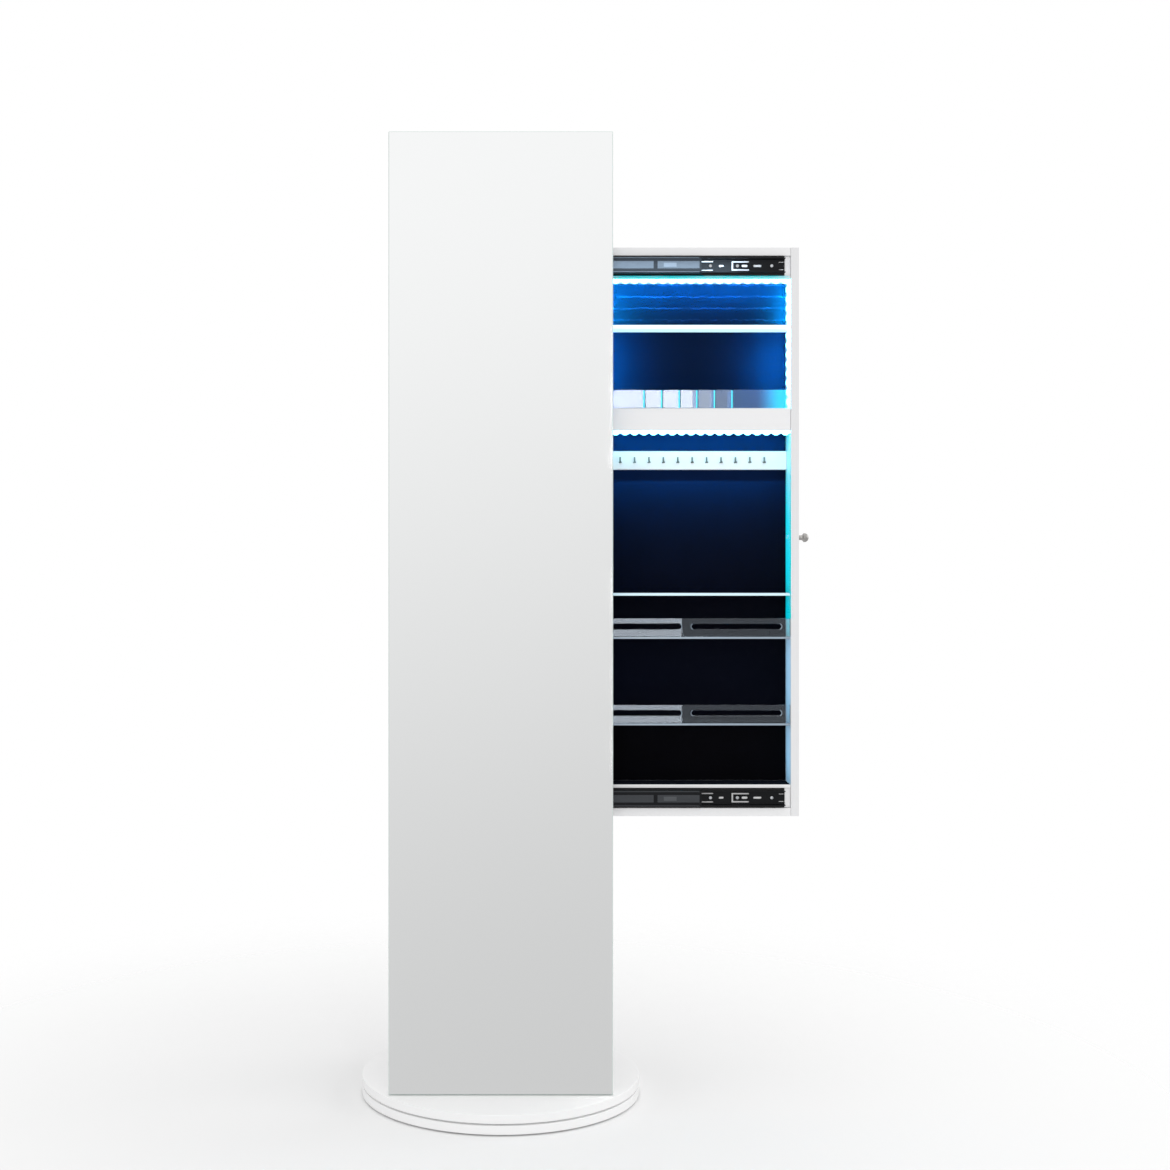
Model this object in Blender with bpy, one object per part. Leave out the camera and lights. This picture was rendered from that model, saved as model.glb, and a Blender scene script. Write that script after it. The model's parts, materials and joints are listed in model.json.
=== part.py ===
"""Rotating jewelry armoire, built from the separate pieces that the real one is made of.

Metres, +Z up, floor at Z = 0, turning axis on Z. The mirror faces -Y and the jewelry drawer slides out
along +X. Pieces are placed where they sit with the drawer closed, and the drawer's and the slides' empties
then carry them out to the photographed pose, with the drawer pulled out.
"""
import math

import bmesh
import bpy
from mathutils import Vector

# Clearances
FIT = 0.0003
RUN = 0.0004

# Swivel base
BASE_RADIUS = 0.200
LOWER_DISC_THICKNESS = 0.012
UPPER_DISC_THICKNESS = 0.012
DISC_GAP = 0.0025
DISC_EDGE = 0.0008
FOOT_RADIUS = 0.012
FOOT_HEIGHT = 0.002
FOOT_EDGE_INSET = 0.018
FOOT_COUNT = 4
BEARING_OUTER_RADIUS = 0.060
BEARING_RING_WIDTH = 0.016
RACE_THICKNESS = 0.002
CAGE_THICKNESS = 0.004
PIVOT_RADIUS = 0.003
PIVOT_HEAD_RADIUS = 0.0055
PIVOT_HEAD_HEIGHT = 0.004
PIVOT_HEAD_SINK = 0.001
PIVOT_HOLE_FLOOR = 0.0025
COUNTERBORE_CLEARANCE = 0.0009

# Standing boards
BOARD_THICKNESS = 0.015
BOARD_EDGE = 0.0006
MIRROR_FACE_SETBACK = 0.1165
MIRROR_HEIGHT = 1.332
MIRROR_BOARD_WIDTH = 0.311
GLASS_THICKNESS = 0.003
GLASS_MARGIN = 0.0006
FILM_THICKNESS = 0.0005
CUTOUT_WIDTH = 0.200
LOWER_CUTOUT_SILL = 0.057
LOWER_CUTOUT_HEIGHT = 0.181
UPPER_CUTOUT_TOP_MARGIN = 0.056
UPPER_CUTOUT_HEIGHT = 0.181
REAR_PANEL_WIDTH = 0.135
PLANK_THICKNESS = 0.015
PLANK_BELOW_MIRROR_TOP = 0.0222
SHELF_DEPTH = 0.258
SHELF_WIDTH = 0.311
SHELF_THICKNESS = 0.015
SHELF_TOP_HEIGHT = 0.322
APRON_THICKNESS = 0.015
APRON_HEIGHT = 0.064
CAM_RADIUS = 0.0075
CAM_DEPTH = 0.011
CAM_INSET = 0.024
CAM_SPACING = 0.074

# Hanging rail, pegs and strap
RAIL_RADIUS = 0.010
RAIL_DROP = 0.047
PEG_LENGTH = 0.070
PEG_ROOT_RADIUS = 0.0068
PEG_TIP_RADIUS = 0.0095
PEG_TIP_ROUND = 0.004
PEG_FLARE_START = 0.018
PEG_FLARE_END = 0.036
PEG_DROPS_RIGHT = (0.0455, 0.2885)
PEG_DROPS_LEFT = (0.2485, 0.4835)
STRAP_WIDTH = 0.014
STRAP_THICKNESS = 0.0012
STRAP_SCREW_INSET = 0.007
SCREW_RADIUS = 0.0017
SCREW_HEAD_RADIUS = 0.0042
SCREW_HEAD_HEIGHT = 0.002
SCREW_CROWN_RADIUS = 0.0025
SCREW_RIM_HEIGHT = 0.0009
STRAP_SCREW_LENGTH = 0.016
STRAP_END_SCREW_LENGTH = 0.016
STRAP_END_SCREW_DROOP = 30.0
# The hanging strap's route: sideways place, distance off the panel, drop below its upper end, twist.
STRAP_ROUTE = (
    (0.000, 0.0000, 0.000, 0.0),
    (0.000, 0.0000, 0.022, 0.0),
    (0.001, 0.0030, 0.050, 8.0),
    (0.000, 0.0080, 0.090, 33.0),
    (-0.003, 0.0110, 0.130, 58.0),
    (-0.008, 0.0125, 0.165, 74.0),
    (-0.014, 0.0125, 0.193, 83.0),
    (-0.018, 0.0122, 0.211, 86.0),
    (-0.022, 0.0119, 0.229, 87.0),
)
STRAP_STEPS = 4

# Jewelry drawer
DRAWER_TRAVEL = 0.260
DRAWER_WIDTH = 0.314
DRAWER_BELOW_PLANK = 0.1188
DRAWER_ABOVE_SHELF = 0.059
DRAWER_DEPTH = 0.045
WALL_THICKNESS = 0.0115
BACK_PANEL_THICKNESS = 0.003
BACK_PANEL_INSET = 0.0035
LINER_THICKNESS = 0.0015
DIVIDER_THICKNESS = 0.005
FRONT_SETBACK = 0.0006
KNOB_HEIGHT = 0.3895
KNOB_LENGTH = 0.017
KNOB_RADIUS = 0.0065
KNOB_NECK_RADIUS = 0.0036
KNOB_FOOT_RADIUS = 0.005
KNOB_FOOT_HEIGHT = 0.0015
KNOB_NECK_BOTTOM = 0.0025
KNOB_NECK_TOP = 0.0078
KNOB_UNDERCUT = 0.003
KNOB_BORE_DEPTH = 0.007

# Ball-bearing slides
SLIDE_LENGTH = 0.300
SLIDE_HEIGHT = 0.027
SLIDE_THICKNESS = 0.0127
SLIDE_STEEL = 0.0012
SLIDE_CHANNEL_DEPTH = 0.0086
SLIDE_INNER_LENGTH = 0.280
SLIDE_INNER_END_GAP = 0.008
SLIDE_MOUNT_THICKNESS = 0.012

# Fittings inside the drawer: drops are measured from its upper edge, heights from its lower edge
LED_HEIGHT = 0.003
LED_DEPTH = 0.008
BATTERY_WIDTH = 0.038
BATTERY_DEPTH = 0.018
BATTERY_HEIGHT = 0.065
UPPER_SHELF_DROP = 0.1133
UPPER_SHELF_THICKNESS = 0.005
RING_TRAY_DROP = 0.2246
RING_TRAY_FLOOR = 0.004
RING_FASCIA_HEIGHT = 0.0317
RING_FASCIA_THICKNESS = 0.008
RING_DIVIDER_HEIGHT = 0.0253
RING_DIVIDER_THICKNESS = 0.002
RING_DIVIDER_COUNT = 6
RING_DIVIDER_PITCH = 0.0246
RING_FIRST_DIVIDER = -0.0598
HOOK_BAR_DROP = 0.309
HOOK_BAR_WIDTH = 0.0262
HOOK_BAR_THICKNESS = 0.010
HOOK_COUNT = 12
HOOK_PITCH = 0.0204
HOOK_WIRE = 0.0022
HOOK_REACH = 0.0095
HOOK_RISE = 0.008
HOOK_ROOT = 0.003
HOOK_TURN = 20.0
ACRYLIC_SHELF_HEIGHT = 0.308
ACRYLIC_THICKNESS = 0.003
ACRYLIC_SHELF_THICKNESS = 0.004
UPPER_COSMETIC_HEIGHT = 0.2476
LOWER_COSMETIC_HEIGHT = 0.1264
GUARD_SETBACK = 0.004
GUARD_HEIGHT = 0.0255
SLOT_HEIGHT = 0.007
SLOT_ABOVE_FLOOR = 0.0105
SLOT_WEB = 0.0136
SLOT_END_MARGIN = 0.012

# Heights and planes that several pieces share
LOWER_DISC_BOTTOM = FOOT_HEIGHT + FIT
LOWER_DISC_TOP = LOWER_DISC_BOTTOM + LOWER_DISC_THICKNESS
UPPER_DISC_BOTTOM = LOWER_DISC_TOP + DISC_GAP
BASE_TOP = UPPER_DISC_BOTTOM + UPPER_DISC_THICKNESS
STAND = BASE_TOP + FIT
BEARING_STACK = 2 * RACE_THICKNESS + CAGE_THICKNESS + 2 * RUN + 2 * FIT
RACE_POCKET_DEPTH = (BEARING_STACK - DISC_GAP) / 2

GLASS_FRONT = -MIRROR_FACE_SETBACK
FILM_FRONT = GLASS_FRONT + GLASS_THICKNESS + FIT
BOARD_FRONT = FILM_FRONT + FILM_THICKNESS + FIT
BOARD_REAR = BOARD_FRONT + BOARD_THICKNESS
PANEL_INNER = BOARD_REAR + SHELF_DEPTH + 2 * FIT
PANEL_OUTER = PANEL_INNER + BOARD_THICKNESS
MIRROR_TOP = STAND + MIRROR_HEIGHT
PLANK_TOP = MIRROR_TOP - PLANK_BELOW_MIRROR_TOP
PLANK_BOTTOM = PLANK_TOP - PLANK_THICKNESS
PANEL_TOP = PLANK_BOTTOM - FIT
SHELF_TOP = STAND + SHELF_TOP_HEIGHT
SHELF_BOTTOM = SHELF_TOP - SHELF_THICKNESS

SLIDE_BACK = BOARD_REAR + FIT
DRAWER_FRONT = SLIDE_BACK + SLIDE_CHANNEL_DEPTH + RUN
DRAWER_REAR = DRAWER_FRONT + DRAWER_DEPTH
DRAWER_BOTTOM = SHELF_TOP + DRAWER_ABOVE_SHELF
DRAWER_TOP = PLANK_BOTTOM - DRAWER_BELOW_PLANK
DRAWER_SIDE = DRAWER_WIDTH / 2
INNER_SIDE = DRAWER_SIDE - WALL_THICKNESS - FIT
LINER_FRONT = DRAWER_REAR - LINER_THICKNESS
FITTING_REAR = LINER_FRONT - FIT
CHANNEL = SLIDE_HEIGHT + 2 * RUN
LOWER_SLIDE_BOTTOM = DRAWER_BOTTOM + WALL_THICKNESS + RUN
UPPER_SLIDE_BOTTOM = DRAWER_TOP - WALL_THICKNESS - RUN - SLIDE_HEIGHT
LOWER_DIVIDER_TOP = DRAWER_BOTTOM + WALL_THICKNESS + CHANNEL + DIVIDER_THICKNESS
UPPER_DIVIDER_BOTTOM = DRAWER_TOP - WALL_THICKNESS - CHANNEL - DIVIDER_THICKNESS

ROUND_STEPS = 72
RING_STEPS = 48
SMALL_STEPS = 20


def linear(hex_colour):
    """Turn an sRGB hex colour into linear red, green, blue and alpha."""
    channels = []
    for start in (0, 2, 4):
        value = int(hex_colour[start:start + 2], 16) / 255
        channels.append(value / 12.92 if value <= 0.04045 else ((value + 0.055) / 1.055) ** 2.4)
    return (*channels, 1.0)


def make_material(name, hex_colour, roughness, metallic=0.0, alpha=1.0, glow=0.0):
    """One Principled material."""
    made = bpy.data.materials.new(name)
    made.use_nodes = True
    shader = made.node_tree.nodes["Principled BSDF"]
    shader.inputs["Base Color"].default_value = linear(hex_colour)
    shader.inputs["Roughness"].default_value = roughness
    shader.inputs["Metallic"].default_value = metallic
    shader.inputs["Alpha"].default_value = alpha
    shader.inputs["Emission Color"].default_value = linear(hex_colour)
    shader.inputs["Emission Strength"].default_value = glow
    made.diffuse_color = linear(hex_colour)
    return made


def make_empty(name, parent=None, location=(0, 0, 0)):
    """An empty that carries a moving body."""
    empty = bpy.data.objects.new(name, None)
    bpy.context.scene.collection.objects.link(empty)
    empty.parent = parent
    empty.location = location
    return empty


def finish(bm, name, material, parent, location=(0, 0, 0)):
    """Write a bmesh to a named object."""
    bmesh.ops.recalc_face_normals(bm, faces=bm.faces[:])
    mesh = bpy.data.meshes.new(name)
    bm.to_mesh(mesh)
    bm.free()
    obj = bpy.data.objects.new(name, mesh)
    bpy.context.scene.collection.objects.link(obj)
    obj.parent = parent
    obj.location = location
    if material:
        mesh.materials.append(material)
    return obj


def box(name, material, parent, x, y, z, edge=0.0):
    """A board between pairs of limits, with its edges eased by a bevel."""
    low = Vector((x[0], y[0], z[0]))
    high = Vector((x[1], y[1], z[1]))
    bm = bmesh.new()
    bmesh.ops.create_cube(bm, size=1.0)
    bmesh.ops.scale(bm, vec=high - low, verts=bm.verts[:])
    obj = finish(bm, name, material, parent, (low + high) / 2)
    if edge:
        bevel = obj.modifiers.new("eased edges", "BEVEL")
        bevel.width = edge
        bevel.segments = 2
    return obj


def turned(name, material, parent, profile, steps, location=(0, 0, 0), axis=(0, 0, 1)):
    """Spin a profile of (radius, height) points about the axis; a profile off the axis closes on itself."""
    bm = bmesh.new()
    points = [bm.verts.new((radius, 0, height)) for radius, height in profile]
    edges = [bm.edges.new(pair) for pair in zip(points, points[1:])]
    if profile[0][0] > 0:
        edges.append(bm.edges.new((points[-1], points[0])))
    bmesh.ops.spin(bm, geom=points + edges, cent=(0, 0, 0), axis=(0, 0, 1), angle=math.tau, steps=steps)
    bmesh.ops.remove_doubles(bm, verts=bm.verts[:], dist=1e-6)
    obj = finish(bm, name, material, parent, location)
    obj.rotation_euler = Vector(axis).to_track_quat("Z", "Y").to_euler()
    return obj


def prism(name, material, parent, outline, along, span):
    """Extrude an outline along one axis; the outline is in the other two axes, in X, Y, Z order."""
    def place(pair, distance):
        point = list(pair)
        point.insert("XYZ".index(along), distance)
        return point

    bm = bmesh.new()
    face = bm.faces.new([bm.verts.new(place(pair, span[0])) for pair in outline])
    swept = bmesh.ops.extrude_face_region(bm, geom=[face])
    moved = [item for item in swept["geom"] if isinstance(item, bmesh.types.BMVert)]
    bmesh.ops.translate(bm, vec=place((0, 0), span[1] - span[0]), verts=moved)
    return finish(bm, name, material, parent)


def combine(obj, other, operation="DIFFERENCE"):
    """Cut another shape out of an object, or join it on, and hide that shape."""
    other.hide_render = True
    other.display_type = "WIRE"
    boolean = obj.modifiers.new(other.name, "BOOLEAN")
    boolean.operation = operation
    boolean.object = other


def stadium(x, z, height):
    """Outline of a slot with round ends in X and Z: its limits in X, its lower edge and its height."""
    radius = height / 2
    outline = []
    for centre, start in ((x[1] - radius, -90), (x[0] + radius, 90)):
        for step in range(9):
            angle = math.radians(start + step * 22.5)
            outline.append((centre + radius * math.cos(angle), z + radius + radius * math.sin(angle)))
    return outline


def channel_outline(back, depth, bottom, height, steel, faces_drawer=True):
    """Outline in Y and Z of a C-shaped slide member, open towards the drawer or towards the mirror."""
    front = back + depth
    web, lip = (back, front) if faces_drawer else (front, back)
    inner_web = web + steel if faces_drawer else web - steel
    top = bottom + height
    return [
        (web, bottom), (lip, bottom), (lip, bottom + steel), (inner_web, bottom + steel),
        (inner_web, top - steel), (lip, top - steel), (lip, top), (web, top),
    ]


def screw_profile(length):
    """A round-headed screw that points along +Z, with the seat of its head at zero."""
    return [
        (0, -SCREW_HEAD_HEIGHT), (SCREW_CROWN_RADIUS, -SCREW_HEAD_HEIGHT),
        (SCREW_HEAD_RADIUS, -SCREW_RIM_HEIGHT), (SCREW_HEAD_RADIUS, 0),
        (SCREW_RADIUS, 0), (SCREW_RADIUS, length), (0, length),
    ]


def build_base(palette, turntable, cage):
    """The two discs, the bearing between them, the pivot bolt and the feet."""
    inner = BEARING_OUTER_RADIUS - BEARING_RING_WIDTH
    pocket = (inner - FIT, BEARING_OUTER_RADIUS + FIT)
    shaft_hole = PIVOT_RADIUS + RUN
    head_hole = PIVOT_HEAD_RADIUS + COUNTERBORE_CLEARANCE
    rim = BASE_RADIUS - DISC_EDGE
    floor = LOWER_DISC_TOP - RACE_POCKET_DEPTH
    roof = UPPER_DISC_BOTTOM + RACE_POCKET_DEPTH
    hole_floor = LOWER_DISC_BOTTOM + PIVOT_HOLE_FLOOR
    head_top = BASE_TOP - PIVOT_HEAD_SINK
    head_seat = head_top - PIVOT_HEAD_HEIGHT

    turned("base_lower_disc", palette["board"], None, [
        (0, LOWER_DISC_BOTTOM), (rim, LOWER_DISC_BOTTOM),
        (BASE_RADIUS, LOWER_DISC_BOTTOM + DISC_EDGE), (BASE_RADIUS, LOWER_DISC_TOP - DISC_EDGE),
        (rim, LOWER_DISC_TOP), (pocket[1], LOWER_DISC_TOP), (pocket[1], floor), (pocket[0], floor),
        (pocket[0], LOWER_DISC_TOP), (PIVOT_RADIUS + FIT, LOWER_DISC_TOP), (PIVOT_RADIUS + FIT, hole_floor),
        (0, hole_floor),
    ], ROUND_STEPS)
    turned("base_upper_disc", palette["board"], turntable, [
        (shaft_hole, UPPER_DISC_BOTTOM), (pocket[0], UPPER_DISC_BOTTOM), (pocket[0], roof),
        (pocket[1], roof), (pocket[1], UPPER_DISC_BOTTOM), (rim, UPPER_DISC_BOTTOM),
        (BASE_RADIUS, UPPER_DISC_BOTTOM + DISC_EDGE), (BASE_RADIUS, BASE_TOP - DISC_EDGE),
        (rim, BASE_TOP), (head_hole, BASE_TOP), (head_hole, head_seat - RUN), (shaft_hole, head_seat - RUN),
    ], ROUND_STEPS)

    def ring(name, material, parent, bottom, thickness):
        top = bottom + thickness
        profile = [(inner, bottom), (BEARING_OUTER_RADIUS, bottom), (BEARING_OUTER_RADIUS, top), (inner, top)]
        turned(name, material, parent, profile, RING_STEPS)

    lower_race = floor + FIT
    cage_bottom = lower_race + RACE_THICKNESS + RUN
    upper_race = cage_bottom + CAGE_THICKNESS + RUN
    ring("bearing_lower_race", palette["aluminium"], None, lower_race, RACE_THICKNESS)
    ring("bearing_ball_cage", palette["nylon"], cage, cage_bottom, CAGE_THICKNESS)
    ring("bearing_upper_race", palette["aluminium"], turntable, upper_race, RACE_THICKNESS)

    turned("pivot_bolt", palette["dark_steel"], None, [
        (0, hole_floor + FIT), (PIVOT_RADIUS, hole_floor + FIT), (PIVOT_RADIUS, head_seat),
        (PIVOT_HEAD_RADIUS, head_seat), (PIVOT_HEAD_RADIUS, head_top), (0, head_top),
    ], SMALL_STEPS)

    foot_ring = BASE_RADIUS - FOOT_EDGE_INSET - FOOT_RADIUS
    feet = {"foot_pad_centre": (0, 0, 0)}
    for number in range(FOOT_COUNT):
        angle = math.tau * (number + 0.5) / FOOT_COUNT
        feet[f"foot_pad_{number + 1}"] = (foot_ring * math.cos(angle), foot_ring * math.sin(angle), 0)
    pad = [(0, 0), (FOOT_RADIUS, 0), (FOOT_RADIUS, FOOT_HEIGHT), (0, FOOT_HEIGHT)]
    for name, place in feet.items():
        turned(name, palette["rubber"], None, pad, SMALL_STEPS, place)


def build_boards(palette, turntable):
    """The mirror with its backing board, the rear panel, the plank, the shelf and its apron."""
    board = palette["board"]
    half = MIRROR_BOARD_WIDTH / 2
    glass_half = half - GLASS_MARGIN
    glass_z = (STAND + GLASS_MARGIN, MIRROR_TOP - GLASS_MARGIN)
    box("mirror_glass", palette["mirror"], turntable, (-glass_half, glass_half),
        (GLASS_FRONT, GLASS_FRONT + GLASS_THICKNESS), glass_z)
    box("mirror_back_film", palette["black_film"], turntable, (-glass_half, glass_half),
        (FILM_FRONT, FILM_FRONT + FILM_THICKNESS), glass_z)

    mirror_board = box("mirror_board", board, turntable, (-half, half), (BOARD_FRONT, BOARD_REAR),
                       (STAND, MIRROR_TOP), BOARD_EDGE)
    through = (BOARD_FRONT - BOARD_THICKNESS, BOARD_REAR + BOARD_THICKNESS)
    cutout_x = (-CUTOUT_WIDTH / 2, CUTOUT_WIDTH / 2)
    lower_z = (STAND + LOWER_CUTOUT_SILL, STAND + LOWER_CUTOUT_SILL + LOWER_CUTOUT_HEIGHT)
    upper_top = MIRROR_TOP - UPPER_CUTOUT_TOP_MARGIN
    upper_z = (upper_top - UPPER_CUTOUT_HEIGHT, upper_top)
    combine(mirror_board, box("lower_cutout", None, turntable, cutout_x, through, lower_z))
    combine(mirror_board, box("upper_cutout", None, turntable, cutout_x, through, upper_z))
    box("upper_insert", board, turntable, (cutout_x[0] + FIT, cutout_x[1] - FIT), (BOARD_FRONT, BOARD_REAR),
        (upper_z[0] + FIT, upper_z[1] - FIT))

    panel_x = (-REAR_PANEL_WIDTH / 2, REAR_PANEL_WIDTH / 2)
    box("rear_panel", board, turntable, panel_x, (PANEL_INNER, PANEL_OUTER),
        (STAND, PANEL_TOP), BOARD_EDGE)
    plank = box("top_plank", board, turntable, panel_x, (BOARD_REAR + FIT, PANEL_OUTER),
                (PLANK_BOTTOM, PLANK_TOP), BOARD_EDGE)
    for name, side in (("cam_lock_left", -1), ("cam_lock_right", 1)):
        place = (side * CAM_SPACING / 2, BOARD_REAR + FIT + CAM_INSET, PLANK_BOTTOM)
        pocket = [(0, -CAM_DEPTH), (CAM_RADIUS + FIT, -CAM_DEPTH), (CAM_RADIUS + FIT, CAM_DEPTH + FIT)]
        pocket.append((0, CAM_DEPTH + FIT))
        combine(plank, turned(name + "_pocket", None, turntable, pocket, SMALL_STEPS, place))
        cam = [(0, FIT), (CAM_RADIUS, FIT), (CAM_RADIUS, CAM_DEPTH), (0, CAM_DEPTH)]
        turned(name, palette["zinc"], turntable, cam, SMALL_STEPS, place)

    shelf_half = SHELF_WIDTH / 2
    between = (BOARD_REAR + FIT, PANEL_INNER - FIT)
    box("shelf", board, turntable, (-shelf_half, shelf_half), between, (SHELF_BOTTOM, SHELF_TOP), BOARD_EDGE)
    box("shelf_apron", board, turntable, (-APRON_THICKNESS / 2, APRON_THICKNESS / 2), between,
        (SHELF_BOTTOM - FIT - APRON_HEIGHT, SHELF_BOTTOM - FIT), BOARD_EDGE)
    return plank


def build_hangers(palette, turntable):
    """The hanging rail between mirror and rear panel, and the coat pegs on the rear panel's edges."""
    start = BOARD_REAR + FIT
    length = PANEL_INNER - FIT - start
    turned("hanging_rail", palette["white_metal"], turntable,
           [(0, 0), (RAIL_RADIUS, 0), (RAIL_RADIUS, length), (0, length)], SMALL_STEPS,
           (0, start, PLANK_BOTTOM - RAIL_DROP), (0, 1, 0))

    swell = PEG_TIP_RADIUS - PEG_ROOT_RADIUS
    profile = [(0, 0), (PEG_ROOT_RADIUS, 0)]
    for share in (0.0, 0.25, 0.5, 0.75, 1.0):
        eased = (1 - math.cos(math.pi * share)) / 2
        along = PEG_FLARE_START + share * (PEG_FLARE_END - PEG_FLARE_START)
        profile.append((PEG_ROOT_RADIUS + eased * swell, along))
    for degrees in (0, 30, 60, 90):
        turn = math.radians(degrees)
        profile.append((PEG_TIP_RADIUS - PEG_TIP_ROUND * (1 - math.cos(turn)),
                        PEG_LENGTH - PEG_TIP_ROUND * (1 - math.sin(turn))))
    profile.append((0, PEG_LENGTH))
    pegs = [(1, drop) for drop in PEG_DROPS_RIGHT] + [(-1, drop) for drop in PEG_DROPS_LEFT]
    for number, (side, drop) in enumerate(pegs, 1):
        place = (side * (REAR_PANEL_WIDTH / 2 + FIT), (PANEL_INNER + PANEL_OUTER) / 2, PANEL_TOP - drop)
        turned(f"coat_peg_{number}", palette["white_paint"], turntable, profile, SMALL_STEPS, place,
               (side, 0, 0))


def strap_frames():
    """Points of the strap's smooth route, each with its twist, in the frame of its upper end."""
    frames = []
    last = len(STRAP_ROUTE) - 1
    for place in range(last):
        before, start, end, after = (
            Vector(STRAP_ROUTE[min(max(index, 0), last)]) for index in range(place - 1, place + 3))
        for step in range(STRAP_STEPS):
            t = step / STRAP_STEPS
            frames.append(0.5 * (2 * start + (end - before) * t
                                 + (2 * before - 5 * start + 4 * end - after) * t ** 2
                                 + (3 * start - before - 3 * end + after) * t ** 3))
    frames.append(Vector(STRAP_ROUTE[last]))
    return frames


def build_strap(palette, turntable, plank):
    """The webbing strap that hangs from a screw in the plank's end, with a loose screw in its lower end."""
    origin = Vector((0, PANEL_OUTER + FIT + STRAP_THICKNESS / 2,
                     (PLANK_BOTTOM + PLANK_TOP) / 2 + STRAP_SCREW_INSET))
    frames = strap_frames()
    centres = [origin + Vector((frame[0], frame[1], -frame[2])) for frame in frames]
    bm = bmesh.new()
    rings = []
    for centre, frame in zip(centres, frames):
        twist = math.radians(frame[3])
        wide = Vector((math.cos(twist), math.sin(twist), 0)) * STRAP_WIDTH / 2
        thick = Vector((-math.sin(twist), math.cos(twist), 0)) * STRAP_THICKNESS / 2
        corners = (wide + thick, thick - wide, -wide - thick, wide - thick)
        rings.append([bm.verts.new(centre + corner) for corner in corners])
    bm.faces.new(rings[0])
    bm.faces.new(rings[-1])
    for ring, following in zip(rings, rings[1:]):
        for side in range(4):
            after = (side + 1) % 4
            bm.faces.new((ring[side], ring[after], following[after], following[side]))
    strap = finish(bm, "anti_tip_strap", palette["webbing"], turntable)

    hole = [(0, -STRAP_SCREW_LENGTH), (SCREW_RADIUS + FIT, -STRAP_SCREW_LENGTH)]
    hole += [(SCREW_RADIUS + FIT, STRAP_SCREW_LENGTH + FIT), (0, STRAP_SCREW_LENGTH + FIT)]
    top_place = Vector((0, PANEL_OUTER + 2 * FIT + STRAP_THICKNESS, (PLANK_BOTTOM + PLANK_TOP) / 2))
    for name, target in (("strap_hole", strap), ("plank_screw_hole", plank)):
        combine(target, turned(name, None, turntable, hole, SMALL_STEPS, top_place, (0, -1, 0)))
    turned("strap_top_screw", palette["steel"], turntable, screw_profile(STRAP_SCREW_LENGTH), SMALL_STEPS,
           top_place, (0, -1, 0))

    twist = math.radians(frames[-1][3])
    tangent = (centres[-1] - centres[-2]).normalized()
    inwards = Vector((math.cos(twist), math.sin(twist), 0)).cross(-tangent).normalized()
    droop = math.radians(STRAP_END_SCREW_DROOP)
    axis = inwards * math.cos(droop) + tangent * math.sin(droop)
    clear = STRAP_THICKNESS / 2 + FIT + SCREW_HEAD_RADIUS * math.sin(droop)
    end_place = centres[-1] - tangent * STRAP_SCREW_INSET - axis * clear / math.cos(droop)
    combine(strap, turned("strap_end_hole", None, turntable, hole, SMALL_STEPS, end_place, axis))
    turned("strap_end_screw", palette["steel"], turntable, screw_profile(STRAP_END_SCREW_LENGTH), SMALL_STEPS,
           end_place, axis)


def build_slides(palette, turntable, middles, drawer):
    """Two slides, each of three nested channel members."""
    steel = palette["black_steel"]
    half = SLIDE_LENGTH / 2
    step = SLIDE_STEEL + RUN
    inner_right = INNER_SIDE - SLIDE_INNER_END_GAP
    for place, bottom in (("top", UPPER_SLIDE_BOTTOM), ("bottom", LOWER_SLIDE_BOTTOM)):
        outer = channel_outline(SLIDE_BACK, SLIDE_CHANNEL_DEPTH, bottom, SLIDE_HEIGHT, SLIDE_STEEL)
        prism(f"slide_outer_{place}", steel, turntable, outer, "X", (-half, half))
        middle = channel_outline(SLIDE_BACK + step, SLIDE_CHANNEL_DEPTH - step, bottom + step,
                                 SLIDE_HEIGHT - 2 * step, SLIDE_STEEL)
        prism(f"slide_middle_{place}", steel, middles[place], middle, "X", (-half, half))
        inner = channel_outline(SLIDE_BACK + 2 * step, SLIDE_THICKNESS - 2 * step, bottom + 2 * step,
                                SLIDE_HEIGHT - 4 * step, SLIDE_STEEL, faces_drawer=False)
        prism(f"slide_inner_{place}", steel, drawer, inner, "X",
              (inner_right - SLIDE_INNER_LENGTH, inner_right))
        mount_front = SLIDE_BACK + SLIDE_THICKNESS + FIT
        box(f"slide_mount_{place}", palette["black_board"], drawer, (-INNER_SIDE, INNER_SIDE),
            (mount_front, mount_front + SLIDE_MOUNT_THICKNESS), (bottom, bottom + SLIDE_HEIGHT))


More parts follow.
